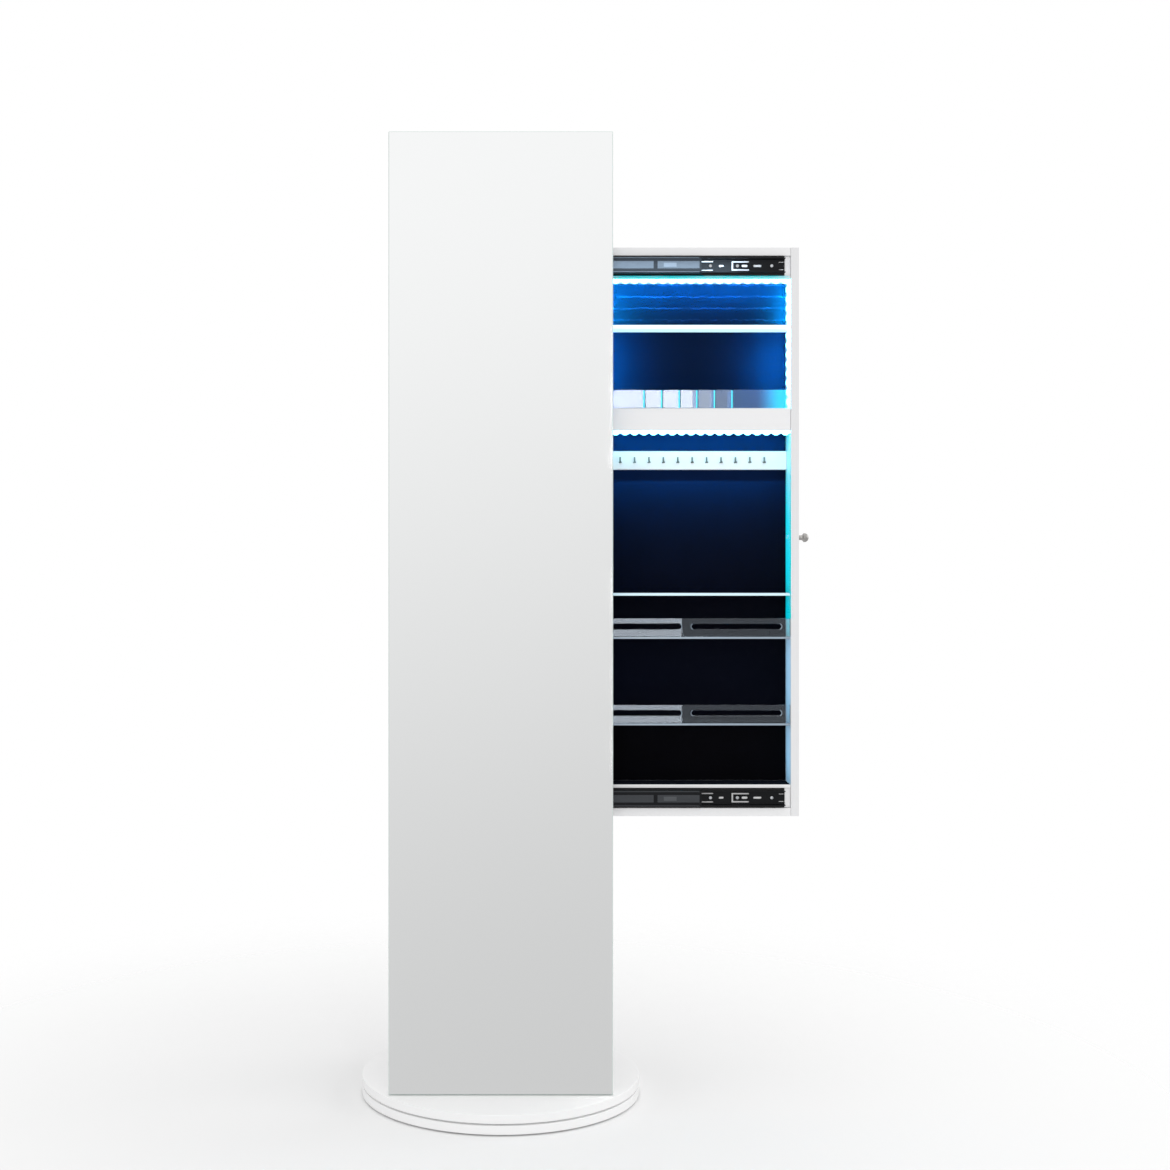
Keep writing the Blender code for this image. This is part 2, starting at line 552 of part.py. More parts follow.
def build_case(palette, drawer):
    """The drawer's walls, back, liner, channel dividers and knob."""
    board = palette["board"]
    depth = (DRAWER_FRONT, DRAWER_REAR)
    tall = (DRAWER_BOTTOM, DRAWER_TOP)
    across = (-INNER_SIDE, INNER_SIDE)
    box("drawer_top_wall", board, drawer, across, depth,
        (DRAWER_TOP - WALL_THICKNESS, DRAWER_TOP), BOARD_EDGE)
    box("drawer_bottom_wall", board, drawer, across, depth,
        (DRAWER_BOTTOM, DRAWER_BOTTOM + WALL_THICKNESS), BOARD_EDGE)
    end_wall = box("drawer_end_wall", board, drawer, (DRAWER_SIDE - WALL_THICKNESS, DRAWER_SIDE), depth, tall,
                   BOARD_EDGE)
    box("drawer_inner_wall", board, drawer, (-DRAWER_SIDE, WALL_THICKNESS - DRAWER_SIDE), depth, tall,
        BOARD_EDGE)
    back_half = DRAWER_SIDE - BACK_PANEL_INSET
    box("drawer_back_panel", board, drawer, (-back_half, back_half),
        (DRAWER_REAR + FIT, DRAWER_REAR + FIT + BACK_PANEL_THICKNESS),
        (DRAWER_BOTTOM + BACK_PANEL_INSET, DRAWER_TOP - BACK_PANEL_INSET))
    box("drawer_liner", palette["velvet"], drawer, across, (LINER_FRONT, DRAWER_REAR),
        (LOWER_DIVIDER_TOP + FIT, UPPER_DIVIDER_BOTTOM - FIT))
    divider_y = (DRAWER_FRONT + FRONT_SETBACK, DRAWER_REAR)
    box("channel_divider_top", board, drawer, across, divider_y,
        (UPPER_DIVIDER_BOTTOM, UPPER_DIVIDER_BOTTOM + DIVIDER_THICKNESS))
    box("channel_divider_bottom", board, drawer, across, divider_y,
        (LOWER_DIVIDER_TOP - DIVIDER_THICKNESS, LOWER_DIVIDER_TOP))

    wall_inner = DRAWER_SIDE - WALL_THICKNESS
    screw_length = WALL_THICKNESS + KNOB_BORE_DEPTH
    place = (wall_inner - FIT, (DRAWER_FRONT + DRAWER_REAR) / 2, DRAWER_BOTTOM + KNOB_HEIGHT)
    hole = [(0, -WALL_THICKNESS), (SCREW_RADIUS + FIT, -WALL_THICKNESS)]
    hole += [(SCREW_RADIUS + FIT, 2 * WALL_THICKNESS), (0, 2 * WALL_THICKNESS)]
    combine(end_wall, turned("knob_screw_hole", None, drawer, hole, SMALL_STEPS, place, (1, 0, 0)))
    turned("knob_screw", palette["steel"], drawer, screw_profile(screw_length), SMALL_STEPS, place, (1, 0, 0))
    bore = SCREW_RADIUS + FIT
    head = KNOB_LENGTH - KNOB_RADIUS
    knob = [(0, KNOB_BORE_DEPTH), (bore, KNOB_BORE_DEPTH), (bore, 0), (KNOB_FOOT_RADIUS, 0)]
    knob += [(KNOB_FOOT_RADIUS, KNOB_FOOT_HEIGHT), (KNOB_NECK_RADIUS, KNOB_NECK_BOTTOM)]
    knob.append((KNOB_NECK_RADIUS, KNOB_NECK_TOP))
    for degrees in (-35, -10, 20, 45, 65, 80):
        turn = math.radians(degrees)
        dome = KNOB_RADIUS if degrees > 0 else KNOB_UNDERCUT
        knob.append((KNOB_RADIUS * math.cos(turn), head + dome * math.sin(turn)))
    knob.append((0, KNOB_LENGTH))
    turned("drawer_knob", palette["nickel"], drawer, knob, SMALL_STEPS,
           (DRAWER_SIDE + FIT, place[1], place[2]), (1, 0, 0))


def build_lights(palette, drawer):
    """The two LED strips and the battery box that feeds them."""
    across = (-INNER_SIDE, INNER_SIDE)
    front = DRAWER_FRONT + FRONT_SETBACK
    top = UPPER_DIVIDER_BOTTOM - FIT
    box("led_strip_top", palette["led"], drawer, across, (front, front + LED_DEPTH), (top - LED_HEIGHT, top))
    fascia_bottom = DRAWER_TOP - RING_TRAY_DROP - RING_FASCIA_HEIGHT - FIT
    box("led_strip_middle", palette["led"], drawer, across, (front, front + LED_DEPTH),
        (fascia_bottom - LED_HEIGHT, fascia_bottom))
    battery_floor = LOWER_DIVIDER_TOP + FIT
    box("led_battery_box", palette["black_film"], drawer, (-INNER_SIDE, BATTERY_WIDTH - INNER_SIDE),
        (FITTING_REAR - BATTERY_DEPTH, FITTING_REAR),
        (battery_floor, battery_floor + BATTERY_HEIGHT), BOARD_EDGE)


def build_ring_tray(palette, drawer):
    """The upper shelf, and the ring tray with its fascia and clear divider comb."""
    across = (-INNER_SIDE, INNER_SIDE)
    front = DRAWER_FRONT + FRONT_SETBACK
    shelf = DRAWER_TOP - UPPER_SHELF_DROP
    box("upper_shelf", palette["board"], drawer, across, (front, FITTING_REAR),
        (shelf, shelf + UPPER_SHELF_THICKNESS))
    floor = DRAWER_TOP - RING_TRAY_DROP
    fascia_back = front + RING_FASCIA_THICKNESS
    box("ring_tray_fascia", palette["board"], drawer, across, (front, fascia_back),
        (floor - RING_FASCIA_HEIGHT, floor))
    box("ring_tray_floor", palette["board"], drawer, across, (fascia_back + FIT, FITTING_REAR),
        (floor - RING_TRAY_FLOOR, floor))

    plate_back = front + RING_DIVIDER_THICKNESS
    outline = [(-INNER_SIDE, front), (INNER_SIDE, front), (INNER_SIDE, plate_back)]
    for number in reversed(range(RING_DIVIDER_COUNT)):
        left = RING_FIRST_DIVIDER + number * RING_DIVIDER_PITCH - RING_DIVIDER_THICKNESS / 2
        right = left + RING_DIVIDER_THICKNESS
        outline += [(right, plate_back), (right, FITTING_REAR), (left, FITTING_REAR), (left, plate_back)]
    outline.append((-INNER_SIDE, plate_back))
    prism("ring_divider_comb", palette["acrylic"], drawer, outline, "Z",
          (floor + FIT, floor + FIT + RING_DIVIDER_HEIGHT))


def build_hook_bar(palette, drawer):
    """The necklace bar on the liner, with its row of upturned hooks, each turned a little to the right."""
    bottom = DRAWER_TOP - HOOK_BAR_DROP
    bar_front = FITTING_REAR - HOOK_BAR_THICKNESS
    bar = box("hook_bar", palette["board"], drawer, (-INNER_SIDE, INNER_SIDE), (bar_front, FITTING_REAR),
              (bottom, bottom + HOOK_BAR_WIDTH))
    hook_z = bottom + HOOK_BAR_WIDTH / 2 - HOOK_RISE / 2
    inner_tip = HOOK_WIRE - HOOK_REACH
    outline = [
        (-HOOK_REACH, 0), (HOOK_ROOT, 0), (HOOK_ROOT, HOOK_WIRE), (inner_tip, HOOK_WIRE),
        (inner_tip, HOOK_RISE), (-HOOK_REACH, HOOK_RISE),
    ]
    for number in range(HOOK_COUNT):
        hook = prism(f"hook_{number + 1}", None, drawer, outline, "X", (-HOOK_WIRE / 2, HOOK_WIRE / 2))
        hook.location = ((number - (HOOK_COUNT - 1) / 2) * HOOK_PITCH, bar_front, hook_z)
        hook.rotation_euler.z = math.radians(HOOK_TURN)
        combine(bar, hook, "UNION")


def build_clear_shelves(palette, drawer):
    """The plain clear shelf, and the two clear shelves whose guard rails have earring slots."""
    across = (-INNER_SIDE, INNER_SIDE)
    front = DRAWER_FRONT + GUARD_SETBACK
    plain = DRAWER_BOTTOM + ACRYLIC_SHELF_HEIGHT
    box("acrylic_shelf", palette["acrylic"], drawer, across, (front, FITTING_REAR),
        (plain, plain + ACRYLIC_SHELF_THICKNESS))
    for place, height in (("upper", UPPER_COSMETIC_HEIGHT), ("lower", LOWER_COSMETIC_HEIGHT)):
        floor = DRAWER_BOTTOM + height
        rail_bottom = floor + ACRYLIC_THICKNESS + FIT
        box(f"cosmetic_shelf_{place}", palette["acrylic"], drawer, across, (front, FITTING_REAR),
            (floor, floor + ACRYLIC_THICKNESS))
        rail = box(f"guard_rail_{place}", palette["acrylic"], drawer, across,
                   (front, front + ACRYLIC_THICKNESS), (rail_bottom, rail_bottom + GUARD_HEIGHT))
        for side in (-1, 1):
            limits = sorted((side * SLOT_WEB / 2, side * (INNER_SIDE - SLOT_END_MARGIN)))
            slot = prism(f"slot_{place}_{side}", None, drawer,
                         stadium(limits, rail_bottom + SLOT_ABOVE_FLOOR, SLOT_HEIGHT), "Y",
                         (front - ACRYLIC_THICKNESS, front + 2 * ACRYLIC_THICKNESS))
            combine(rail, slot)


def build_palette():
    """Every material of the armoire."""
    return {
        "board": make_material("white_melamine_board", "F1F1F2", 0.42),
        "white_paint": make_material("white_painted_wood", "F2F2F0", 0.38),
        "white_metal": make_material("white_coated_tube", "F0F0F0", 0.35),
        "mirror": make_material("silvered_mirror", "E6E8EA", 0.02, 1.0),
        "black_film": make_material("black_plastic", "0B0B0C", 0.5),
        "black_board": make_material("black_foil_board", "0A0A0C", 0.6),
        "black_steel": make_material("black_coated_steel", "16181C", 0.4, 0.6),
        "velvet": make_material("black_velvet", "050508", 0.9),
        "acrylic": make_material("clear_acrylic", "E9F1F5", 0.06, 0.0, 0.3),
        "led": make_material("led_silicone", "9FF1FF", 0.4, 0.0, 1.0, 6.0),
        "nickel": make_material("brushed_nickel", "B9B8B6", 0.28, 1.0),
        "steel": make_material("zinc_plated_steel", "A7A8AA", 0.35, 1.0),
        "dark_steel": make_material("dark_steel", "3A3B3D", 0.45, 1.0),
        "zinc": make_material("cast_zinc", "6C6D6F", 0.5, 1.0),
        "aluminium": make_material("aluminium", "C9CACC", 0.35, 1.0),
        "nylon": make_material("white_nylon", "E4E2DA", 0.5),
        "rubber": make_material("black_rubber", "151515", 0.8),
        "webbing": make_material("white_webbing", "EFEFEE", 0.85),
    }


def main():
    for obj in list(bpy.data.objects):
        bpy.data.objects.remove(obj, do_unlink=True)
    palette = build_palette()
    cage = make_empty("bearing_cage_axis")
    turntable = make_empty("turntable_axis")
    drawer = make_empty("drawer_runner", turntable, (DRAWER_TRAVEL, 0, 0))
    middles = {place: make_empty(f"slide_middle_{place}_runner", turntable, (DRAWER_TRAVEL / 2, 0, 0))
               for place in ("top", "bottom")}
    build_base(palette, turntable, cage)
    plank = build_boards(palette, turntable)
    build_hangers(palette, turntable)
    build_strap(palette, turntable, plank)
    build_slides(palette, turntable, middles, drawer)
    build_case(palette, drawer)
    build_lights(palette, drawer)
    build_ring_tray(palette, drawer)
    build_hook_bar(palette, drawer)
    build_clear_shelves(palette, drawer)


main()
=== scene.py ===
"""Rotating jewelry armoire: the visible pieces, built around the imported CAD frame.

Metres, +Z up, the mirror faces -Y, and the drawer stands open along +X. Boards whose solids are already
right keep them and get a finish here. Everything turned, wound, stamped or clear is modelled again in
fuller detail.
"""
import json
import math
from contextlib import contextmanager

import bmesh
import bpy
from mathutils import Matrix, Vector

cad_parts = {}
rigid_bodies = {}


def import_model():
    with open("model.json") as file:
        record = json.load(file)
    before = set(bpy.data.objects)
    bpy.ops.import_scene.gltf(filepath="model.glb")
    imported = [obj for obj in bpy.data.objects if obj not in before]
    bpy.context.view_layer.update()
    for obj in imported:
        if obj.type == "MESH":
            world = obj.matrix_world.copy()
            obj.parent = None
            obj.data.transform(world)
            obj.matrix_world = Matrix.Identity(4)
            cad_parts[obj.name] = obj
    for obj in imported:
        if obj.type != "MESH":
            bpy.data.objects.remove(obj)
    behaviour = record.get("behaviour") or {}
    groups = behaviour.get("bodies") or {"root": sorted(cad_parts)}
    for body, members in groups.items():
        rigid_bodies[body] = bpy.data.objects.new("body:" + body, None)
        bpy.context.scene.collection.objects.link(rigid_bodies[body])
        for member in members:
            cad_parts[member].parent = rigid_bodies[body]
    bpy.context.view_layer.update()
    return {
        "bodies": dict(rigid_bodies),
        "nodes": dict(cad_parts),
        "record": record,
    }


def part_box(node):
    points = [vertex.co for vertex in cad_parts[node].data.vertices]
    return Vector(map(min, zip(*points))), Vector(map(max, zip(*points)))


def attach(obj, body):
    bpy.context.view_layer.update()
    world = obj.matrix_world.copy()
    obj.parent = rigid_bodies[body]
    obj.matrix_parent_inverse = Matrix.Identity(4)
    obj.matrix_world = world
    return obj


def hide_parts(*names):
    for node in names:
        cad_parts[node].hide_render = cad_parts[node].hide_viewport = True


bl_info = {
    "name": "Rotating Jewelry Armoire",
    "version": (1, 0, 0),
    "blender": (4, 5, 0),
    "location": "View3D > Sidebar > Armoire",
    "description": "Builds the visible pieces of a rotating jewelry armoire around its packed frame",
    "category": "Add Mesh",
}

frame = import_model()
RECORD = frame["record"]
BODY = {node: body for body, nodes in RECORD["behaviour"]["bodies"].items() for node in nodes}
SLOT = {part["node"]: part["material_slot"] for part in RECORD["subparts"]}

# The photograph's frame, and the camera that was fitted to its front view.
FRAME_PIXELS = 1170
FOCAL_PIXELS = 2050.8
CAMERA_DISTANCE = 2.496
CAMERA_HEIGHT = 0.7823
FILM_WIDTH = 36.0
# A shorter lens than the fitted one, and a shift, bring the whole armoire into the frame.
LENS_SHARE = 0.84
LENS_SHIFT = (0.072, -0.030)

# Soft lamps: name, place, target, size and power.
SOFTBOXES = (
    ("overhead_softbox", (0.2, -0.3, 5.5), (0, 0, 0), (3.6, 3.6), 34.0),
    ("right_softbox", (3.2, 0.9, 1.5), (0, 0, 0.6), (1.8, 2.2), 18.0),
    ("front_softbox_low", (0.42, -2.62, 0.45), (0.42, 0, 0.45), (0.20, 0.60), 1.8),
    ("front_softbox_high", (0.435, -2.62, 1.22), (0.435, 0, 1.22), (0.23, 0.40), 3.0),
    ("front_softbox_edge", (0.5775, -2.62, 1.22), (0.5775, 0, 1.22), (0.055, 0.40), 0.27),
    ("front_softbox_rim", (0.6325, -2.62, 1.22), (0.6325, 0, 1.22), (0.055, 0.40), 0.11),
)

# Distances under which vertices are one, after a spin or a sweep and after a cut.
SPUN_DOUBLES = 1e-6
CUT_SLIVERS = 2e-6
# Share of a normal along an axis from which a face lies flat across that axis.
FLAT = 0.95
# Length of one band of a wave texture at a scale of 1.
WAVE_LENGTH = math.tau / 20

# Screws: head radius, head height and shank radius.
WOOD_SCREW = (0.0042, 0.0020, 0.0017)
BACK_SCREW = (0.0018, 0.0006, 0.0009)
SLIDE_SCREW = (0.0023, 0.0010, 0.0012)
BACK_SCREW_LENGTH = 0.008
SLIDE_SCREW_LENGTH = 0.006
STRAP_SCREW_LENGTH = 0.016
# Screws in the drawer's back: sideways from its middle, and height.
BACK_SCREW_PLACES = (
    (0.149, 0.729), (0.149, 0.574), (-0.149, 0.729), (-0.149, 0.574),
    (-0.149, 0.422), (-0.049, 0.422), (0.053, 0.422), (0.149, 0.422),
    (-0.149, 1.193), (-0.049, 1.193), (0.055, 1.193), (0.149, 1.193),
)

# The hanging strap's route, as in the part's source: sideways, off the panel, drop, twist in degrees.
STRAP_ROUTE = (
    (0.000, 0.0000, 0.000, 0.0),
    (0.000, 0.0000, 0.022, 0.0),
    (0.001, 0.0030, 0.050, 8.0),
    (0.000, 0.0080, 0.090, 33.0),
    (-0.003, 0.0110, 0.130, 58.0),
    (-0.008, 0.0125, 0.165, 74.0),
    (-0.014, 0.0125, 0.193, 83.0),
    (-0.018, 0.0122, 0.211, 86.0),
    (-0.022, 0.0119, 0.229, 87.0),
)
STRAP_STEPS = 12
# Gap between the webbing and what lies on it, and the loose wall screw's place and its droop in degrees.
STRAP_GAP = 0.0003
WALL_SCREW_FROM_END = 0.007
WALL_SCREW_DROOP = 30
# Eyelets: name, drop below the strap's upper end, and radius of the hole.
EYELETS = (("strap_eyelet_upper", 0.048, 0.0030), ("strap_eyelet_lower", 0.187, 0.0018))
EYELET_ROLL = 0.0006

# Pivot bolt, and its stepped hole in the upper disc.
BOLT_SHANK = 0.0030
BOLT_HEAD = 0.0040
BOLT_CROWN = 0.0015
BOLT_TIP = 0.0006
BOLT_SOCKET = (0.0029, 0.005)
BOLT_BORE = 0.0034
BOLT_SEAT_DEPTH = 0.0046
BOLT_HOLE_GAP = 0.0009
BOLT_HOLE_EASE = 0.0006

# Eased edges of the mirror, of the drawer's thin back and of the hanging tube.
GLASS_EDGE = 0.0008
BACK_EDGE = 0.0005
TUBE_EDGE = 0.0008

# Cam locks: depth of the ring mark, half width and depth of the cross slot, and eased edge.
CAM_MARK = 0.0008
CAM_SLOT = (0.0009, 0.003)
CAM_EDGE = 0.0004

# Coat pegs: the root's share of the tip's radius, where the swelling starts and how long it is, as shares of
# the length, and the radius of the round end.
PEG_ROOT = 0.715
PEG_SWELL = (0.25, 0.27)
PEG_SWELL_STEPS = 12
PEG_ROUND_END = 0.0042

# Slides: sheet, bends, and the openings punched in each inner member, as limits along X, middle height and
# height, from its middle.
SLIDE_STEEL = 0.0012
SLIDE_BEND = 0.0016
SLIDE_SLOTS = (
    ((0.2793, 0.2974), 0.0059, 0.0017),
    ((0.2793, 0.2974), -0.0059, 0.0017),
    ((0.3051, 0.3119), 0.0, 0.0030),
    ((0.3370, 0.3455), 0.0, 0.0034),
    ((0.3533, 0.3648), 0.0, 0.0030),
)
SLIDE_BRACKET = (
    ((0.3229, 0.3473), 0.0056, 0.0020),
    ((0.3229, 0.3473), -0.0056, 0.0020),
    ((0.3229, 0.3252), 0.0, 0.0132),
    ((0.3890, 0.3990), 0.0052, 0.0012),
    ((0.3890, 0.3990), -0.0052, 0.0012),
)
SLIDE_SCREW_PLACES = (0.2934, 0.3311, 0.3791)
SLIDE_SCREW_SINK = 0.0013
# White board behind the inner member: where it starts, its half height, and its skin off the steel.
BACKING_START = 0.272
BACKING_HALF = 0.0080
BACKING_SKIN = (0.00005, 0.00025)
# Ball cage: its skin, eased edge and half height, the gap between its halves, and the catch, in a lighter
# shade.
CAGE_SKIN = 0.00025
CAGE_EDGE = 0.0001
CAGE_HALF = 0.0052
CAGE_GAP = (0.2130, 0.2185)
CAGE_ENDS = (0.004, 0.003)
CAGE_LIP = 0.0012
CAGE_LIP_PLACES = (0.0026, 0.0014)
CATCH = (0.2270, 0.2450)
CATCH_HALF = 0.0030

# LED tapes: a dome's radius across the row, and its radius along the row as a share of the pitch.
LED_ACROSS = 0.0033
LED_ALONG = 0.36
TAPE_EDGE = 0.0005
TAPE_GAP = 0.0005
SIDE_TAPE_DEPTH = 0.003
SIDE_TAPE_SETBACK = 0.0026

# Ring comb: the first divider is placed from the plate's middle. Each joint cut in the plate holds a divider
# and a strip of painted shade beside it, and both stop a little below the plate's top.
COMB_PLATE = 0.0020
COMB_FIRST = -0.0598
COMB_PITCH = 0.0246
COMB_COUNT = 6
COMB_HALF = 0.0010
COMB_JOINT = (-0.0011, 0.0024)
COMB_SHADE_STRIP = (0.0011, 0.0023)
COMB_DROP = 0.0004

# Guard rails: the slots' middle above the rail's foot, their height, half the bridge between them, what is
# left at each end, and the flare of their mouths.
GUARD_SLOT_MIDDLE = 0.014
GUARD_SLOT_HEIGHT = 0.007
GUARD_BRIDGE_HALF = 0.0068
GUARD_END = 0.012
GUARD_FLARE = 0.0009

# Necklace bar and hooks: the turn is in degrees, and the tip is drawn in by steps of rise and share.
BAR_DEPTH = 0.010
HOOK_COUNT = 12
HOOK_PITCH = 0.0204
HOOK_DROP = 0.004
HOOK_TURN = 20
HOOK_REACH = 0.0095
HOOK_BEND = 0.0030
HOOK_TALL = 0.0080
HOOK_ROOT = 0.001
HOOK_TIP = ((0.0004, 0.85), (0.0003, 0.6))

# Knob: radius and height of the bore, the foot and the neck, then the head's undercut and its groove.
KNOB_STEM = (
    (0, 0.0070), (0.0020, 0.0070), (0.0020, 0), (0.0048, 0), (0.0050, 0.0003), (0.0050, 0.0012),
    (0.0048, 0.0015), (0.0040, 0.0019), (0.0036, 0.0026), (0.0034, 0.0045), (0.0034, 0.0062),
    (0.0036, 0.0074), (0.0043, 0.0082),
)
KNOB_UNDERCUT = 0.0030
KNOB_GROOVE = 0.0003

# Width of the lamps that stand for a tape, and the colours of light that differ from the tapes' own.
STRIP_LAMP = 0.006
NEAR_TINT = (0.0, 0.30, 0.72)
BAR_TINT = (0.55, 1.0, 0.98)
SLIDE_TINT = (0.6, 0.8, 1.0)


def linear(hex_colour):
    """Turn an sRGB hex colour into linear red, green and blue."""
    channels = []
    for start in (0, 2, 4):
        value = int(hex_colour[start:start + 2], 16) / 255
        channels.append(value / 12.92 if value <= 0.04045 else ((value + 0.055) / 1.055) ** 2.4)
    return tuple(channels)


class ArmoireSizes(bpy.types.PropertyGroup):
    """Sizes of the visible detail."""

    board_edge: bpy.props.FloatProperty(
        name="Board edge", description="Radius of the eased edges of boards", default=0.0008, unit="LENGTH")
    acrylic_edge: bpy.props.FloatProperty(
        name="Acrylic edge", description="Radius of the polished edges", default=0.0004, unit="LENGTH")
    led_pitch: bpy.props.FloatProperty(
        name="LED pitch", description="Distance between two lights on the tape", default=0.0132,
        unit="LENGTH")
    led_dome: bpy.props.FloatProperty(
        name="LED dome", description="How far each light stands out of the tape", default=0.0026,
        unit="LENGTH")
    hook_wire: bpy.props.FloatProperty(
        name="Hook wire", description="Wire diameter of the necklace hooks", default=0.0022, unit="LENGTH")
    strap_width: bpy.props.FloatProperty(
        name="Strap width", description="Width of the webbing", default=0.014, unit="LENGTH")
    strap_thickness: bpy.props.FloatProperty(
        name="Strap thickness", description="Thickness of the webbing", default=0.0012, unit="LENGTH")
    turned_segments: bpy.props.IntProperty(
        name="Turned segments", description="Segments round the base discs", default=192, min=16)


class ArmoireColours(bpy.types.PropertyGroup):
    """Colours of the main finishes."""

    board: bpy.props.FloatVectorProperty(
        name="Board", description="Melamine on the boards", subtype="COLOR", default=linear("F4F4F5"))
    velvet: bpy.props.FloatVectorProperty(
        name="Velvet", description="Lining of the drawer", subtype="COLOR", default=linear("08080D"))
    light: bpy.props.FloatVectorProperty(
        name="Light", description="Glow of the LED tape", subtype="COLOR", default=linear("5FD9FF"))
    glow: bpy.props.FloatVectorProperty(
        name="Glow", description="Light that reaches the lining", subtype="COLOR", default=linear("008BFF"))
    mirror: bpy.props.FloatVectorProperty(
        name="Mirror", description="Silvering of the mirror", subtype="COLOR", default=linear("FAFBFB"))


def clear_selection():
    """Deselect everything, because operators act on all that is selected."""
    bpy.ops.object.select_all(action="DESELECT")


def only(obj):
    """Make one object the selected and active one."""
    clear_selection()
    obj.select_set(True)
    bpy.context.view_layer.objects.active = obj
    return obj


def named(name):
    """Name the object that an operator has just made, and its mesh."""
    obj = bpy.context.active_object
    obj.name = name
    obj.data.name = name
    return obj


def put(obj, place=None):
    """Move an object by a matrix, and bring its place into its mesh."""
    only(obj)
    if place is not None:
        obj.matrix_world = place
    bpy.ops.object.transform_apply(location=True, rotation=True, scale=True)
    return obj


def facing(direction, place):
    """The matrix that turns +Z to a direction and moves to a place."""
    turn = Vector(direction).to_track_quat("Z", "Y").to_matrix().to_4x4()
    return Matrix.Translation(place) @ turn


def centre(node):
    """The middle of a solid's box."""
    low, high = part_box(node)
    return (low + high) / 2


@contextmanager
def editing(obj):
    """Edit one object's mesh, with all of it selected, and go back to object mode."""
    only(obj)
    bpy.ops.object.mode_set(mode="EDIT")
    bpy.ops.mesh.select_all(action="SELECT")
    yield
    bpy.ops.object.mode_set(mode="OBJECT")


def pick(obj, kind, test):
    """In edit mode, select only the faces, edges or vertices that pass a test."""
    bpy.ops.mesh.select_mode(type=kind)
    bpy.ops.mesh.select_all(action="DESELECT")
    bm = bmesh.from_edit_mesh(obj.data)
    for item in {"VERT": bm.verts, "EDGE": bm.edges, "FACE": bm.faces}[kind]:
        if test(item):
            item.select_set(True)
    bm.select_flush_mode()
    bmesh.update_edit_mesh(obj.data)


def swept(move):
    """In edit mode, extrude what is selected along a vector."""
    bpy.ops.mesh.extrude_region_move(TRANSFORM_OT_translate={"value": move})


def faces_out():
    """In edit mode, turn every face outwards."""
    bpy.ops.mesh.select_all(action="SELECT")
    bpy.ops.mesh.normals_make_consistent(inside=False)


def close_up():
    """In edit mode, merge the doubles of a spun or swept mesh, and turn its faces outwards."""
    bpy.ops.mesh.select_all(action="SELECT")
    bpy.ops.mesh.remove_doubles(threshold=SPUN_DOUBLES)
    faces_out()


def block(name, low, high, edge=0.0, segments=3):
    """A bar between two corners, with its edges eased."""
    low = Vector(low)
    high = Vector(high)
    clear_selection()
    bpy.ops.mesh.primitive_cube_add(size=1, location=(low + high) / 2, scale=high - low)
    obj = put(named(name))
    if edge:
        with editing(obj):
            bpy.ops.mesh.bevel(offset=edge, segments=segments, affect="EDGES")
    return obj


def drawn(name, points):
    """An object that is a line through points, drawn by extruding a vertex."""
    clear_selection()
    bpy.ops.mesh.primitive_plane_add(size=0.001, location=(0, 0, 0))
    obj = named(name)
    here = Vector()
    with editing(obj):
        bpy.ops.mesh.merge(type="CENTER")
        for number, point in enumerate(points):
            step = Vector(point) - here
            if number:
                bpy.ops.mesh.extrude_vertices_move(TRANSFORM_OT_translate={"value": step})
            else:
                bpy.ops.transform.translate(value=step)
            here += step
    return obj


def turned(name, profile, segments=64, place=None):
    """Spin a profile of (radius, height) points about Z."""
    obj = drawn(name, [(radius, 0, height) for radius, height in profile])
    with editing(obj):
        bpy.ops.mesh.spin(steps=segments, angle=math.tau, center=(0, 0, 0), axis=(0, 0, 1))
        close_up()
    return put(obj, place)


def arc(middle, radius, start, end, steps=5):
    """Points on an arc in a profile, between two angles in degrees."""
    points = []
    for step in range(steps + 1):
        turn = math.radians(start + (end - start) * step / steps)
        points.append((middle[0] + radius * math.cos(turn), middle[1] + radius * math.sin(turn)))
    return points


def slot_cutter(x, z, height, y, segments=32):
    """A bar with round ends along X, for cutting a slot through a plate."""
    radius = height / 2
    clear_selection()
    bpy.ops.mesh.primitive_cylinder_add(
        vertices=segments, radius=radius, depth=y[1] - y[0], location=(x[0] + radius, (y[0] + y[1]) / 2, z),
        rotation=(math.pi / 2, math.pi / segments, 0))
    obj = put(named("slot_cutter"))
    with editing(obj):
        pick(obj, "VERT", lambda vert: vert.co.x > x[0] + radius)
        bpy.ops.transform.translate(value=(x[1] - x[0] - height, 0, 0))
    return obj


def apply_modifiers(obj):
    """Apply an object's modifiers in order."""
    only(obj)
    for modifier in list(obj.modifiers):
        bpy.ops.object.modifier_apply(modifier=modifier.name)


def cut(obj, *cutters):
    """Cut other shapes out of an object, and close up the slivers that are left where two cutters meet."""
    for cutter in cutters:
        boolean = obj.modifiers.new("cut", "BOOLEAN")
        boolean.object = cutter
        apply_modifiers(obj)
        bpy.data.objects.remove(cutter, do_unlink=True)
    with editing(obj):
        bpy.ops.mesh.remove_doubles(threshold=CUT_SLIVERS)
        bpy.ops.mesh.dissolve_degenerate(threshold=CUT_SLIVERS)
    return obj


def joined(name, objects):
    """Join objects into the first one."""
    clear_selection()
    for obj in objects:
        obj.select_set(True)
    bpy.context.view_layer.objects.active = objects[0]
    bpy.ops.object.join()
    return named(name)


def copied(obj, name, move):
    """A copy with its own mesh, moved by a matrix."""
    twin = obj.copy()
    twin.data = obj.data.copy()
    twin.name = name
    twin.data.name = name
    bpy.context.collection.objects.link(twin)
    twin.data.transform(move)
    return twin


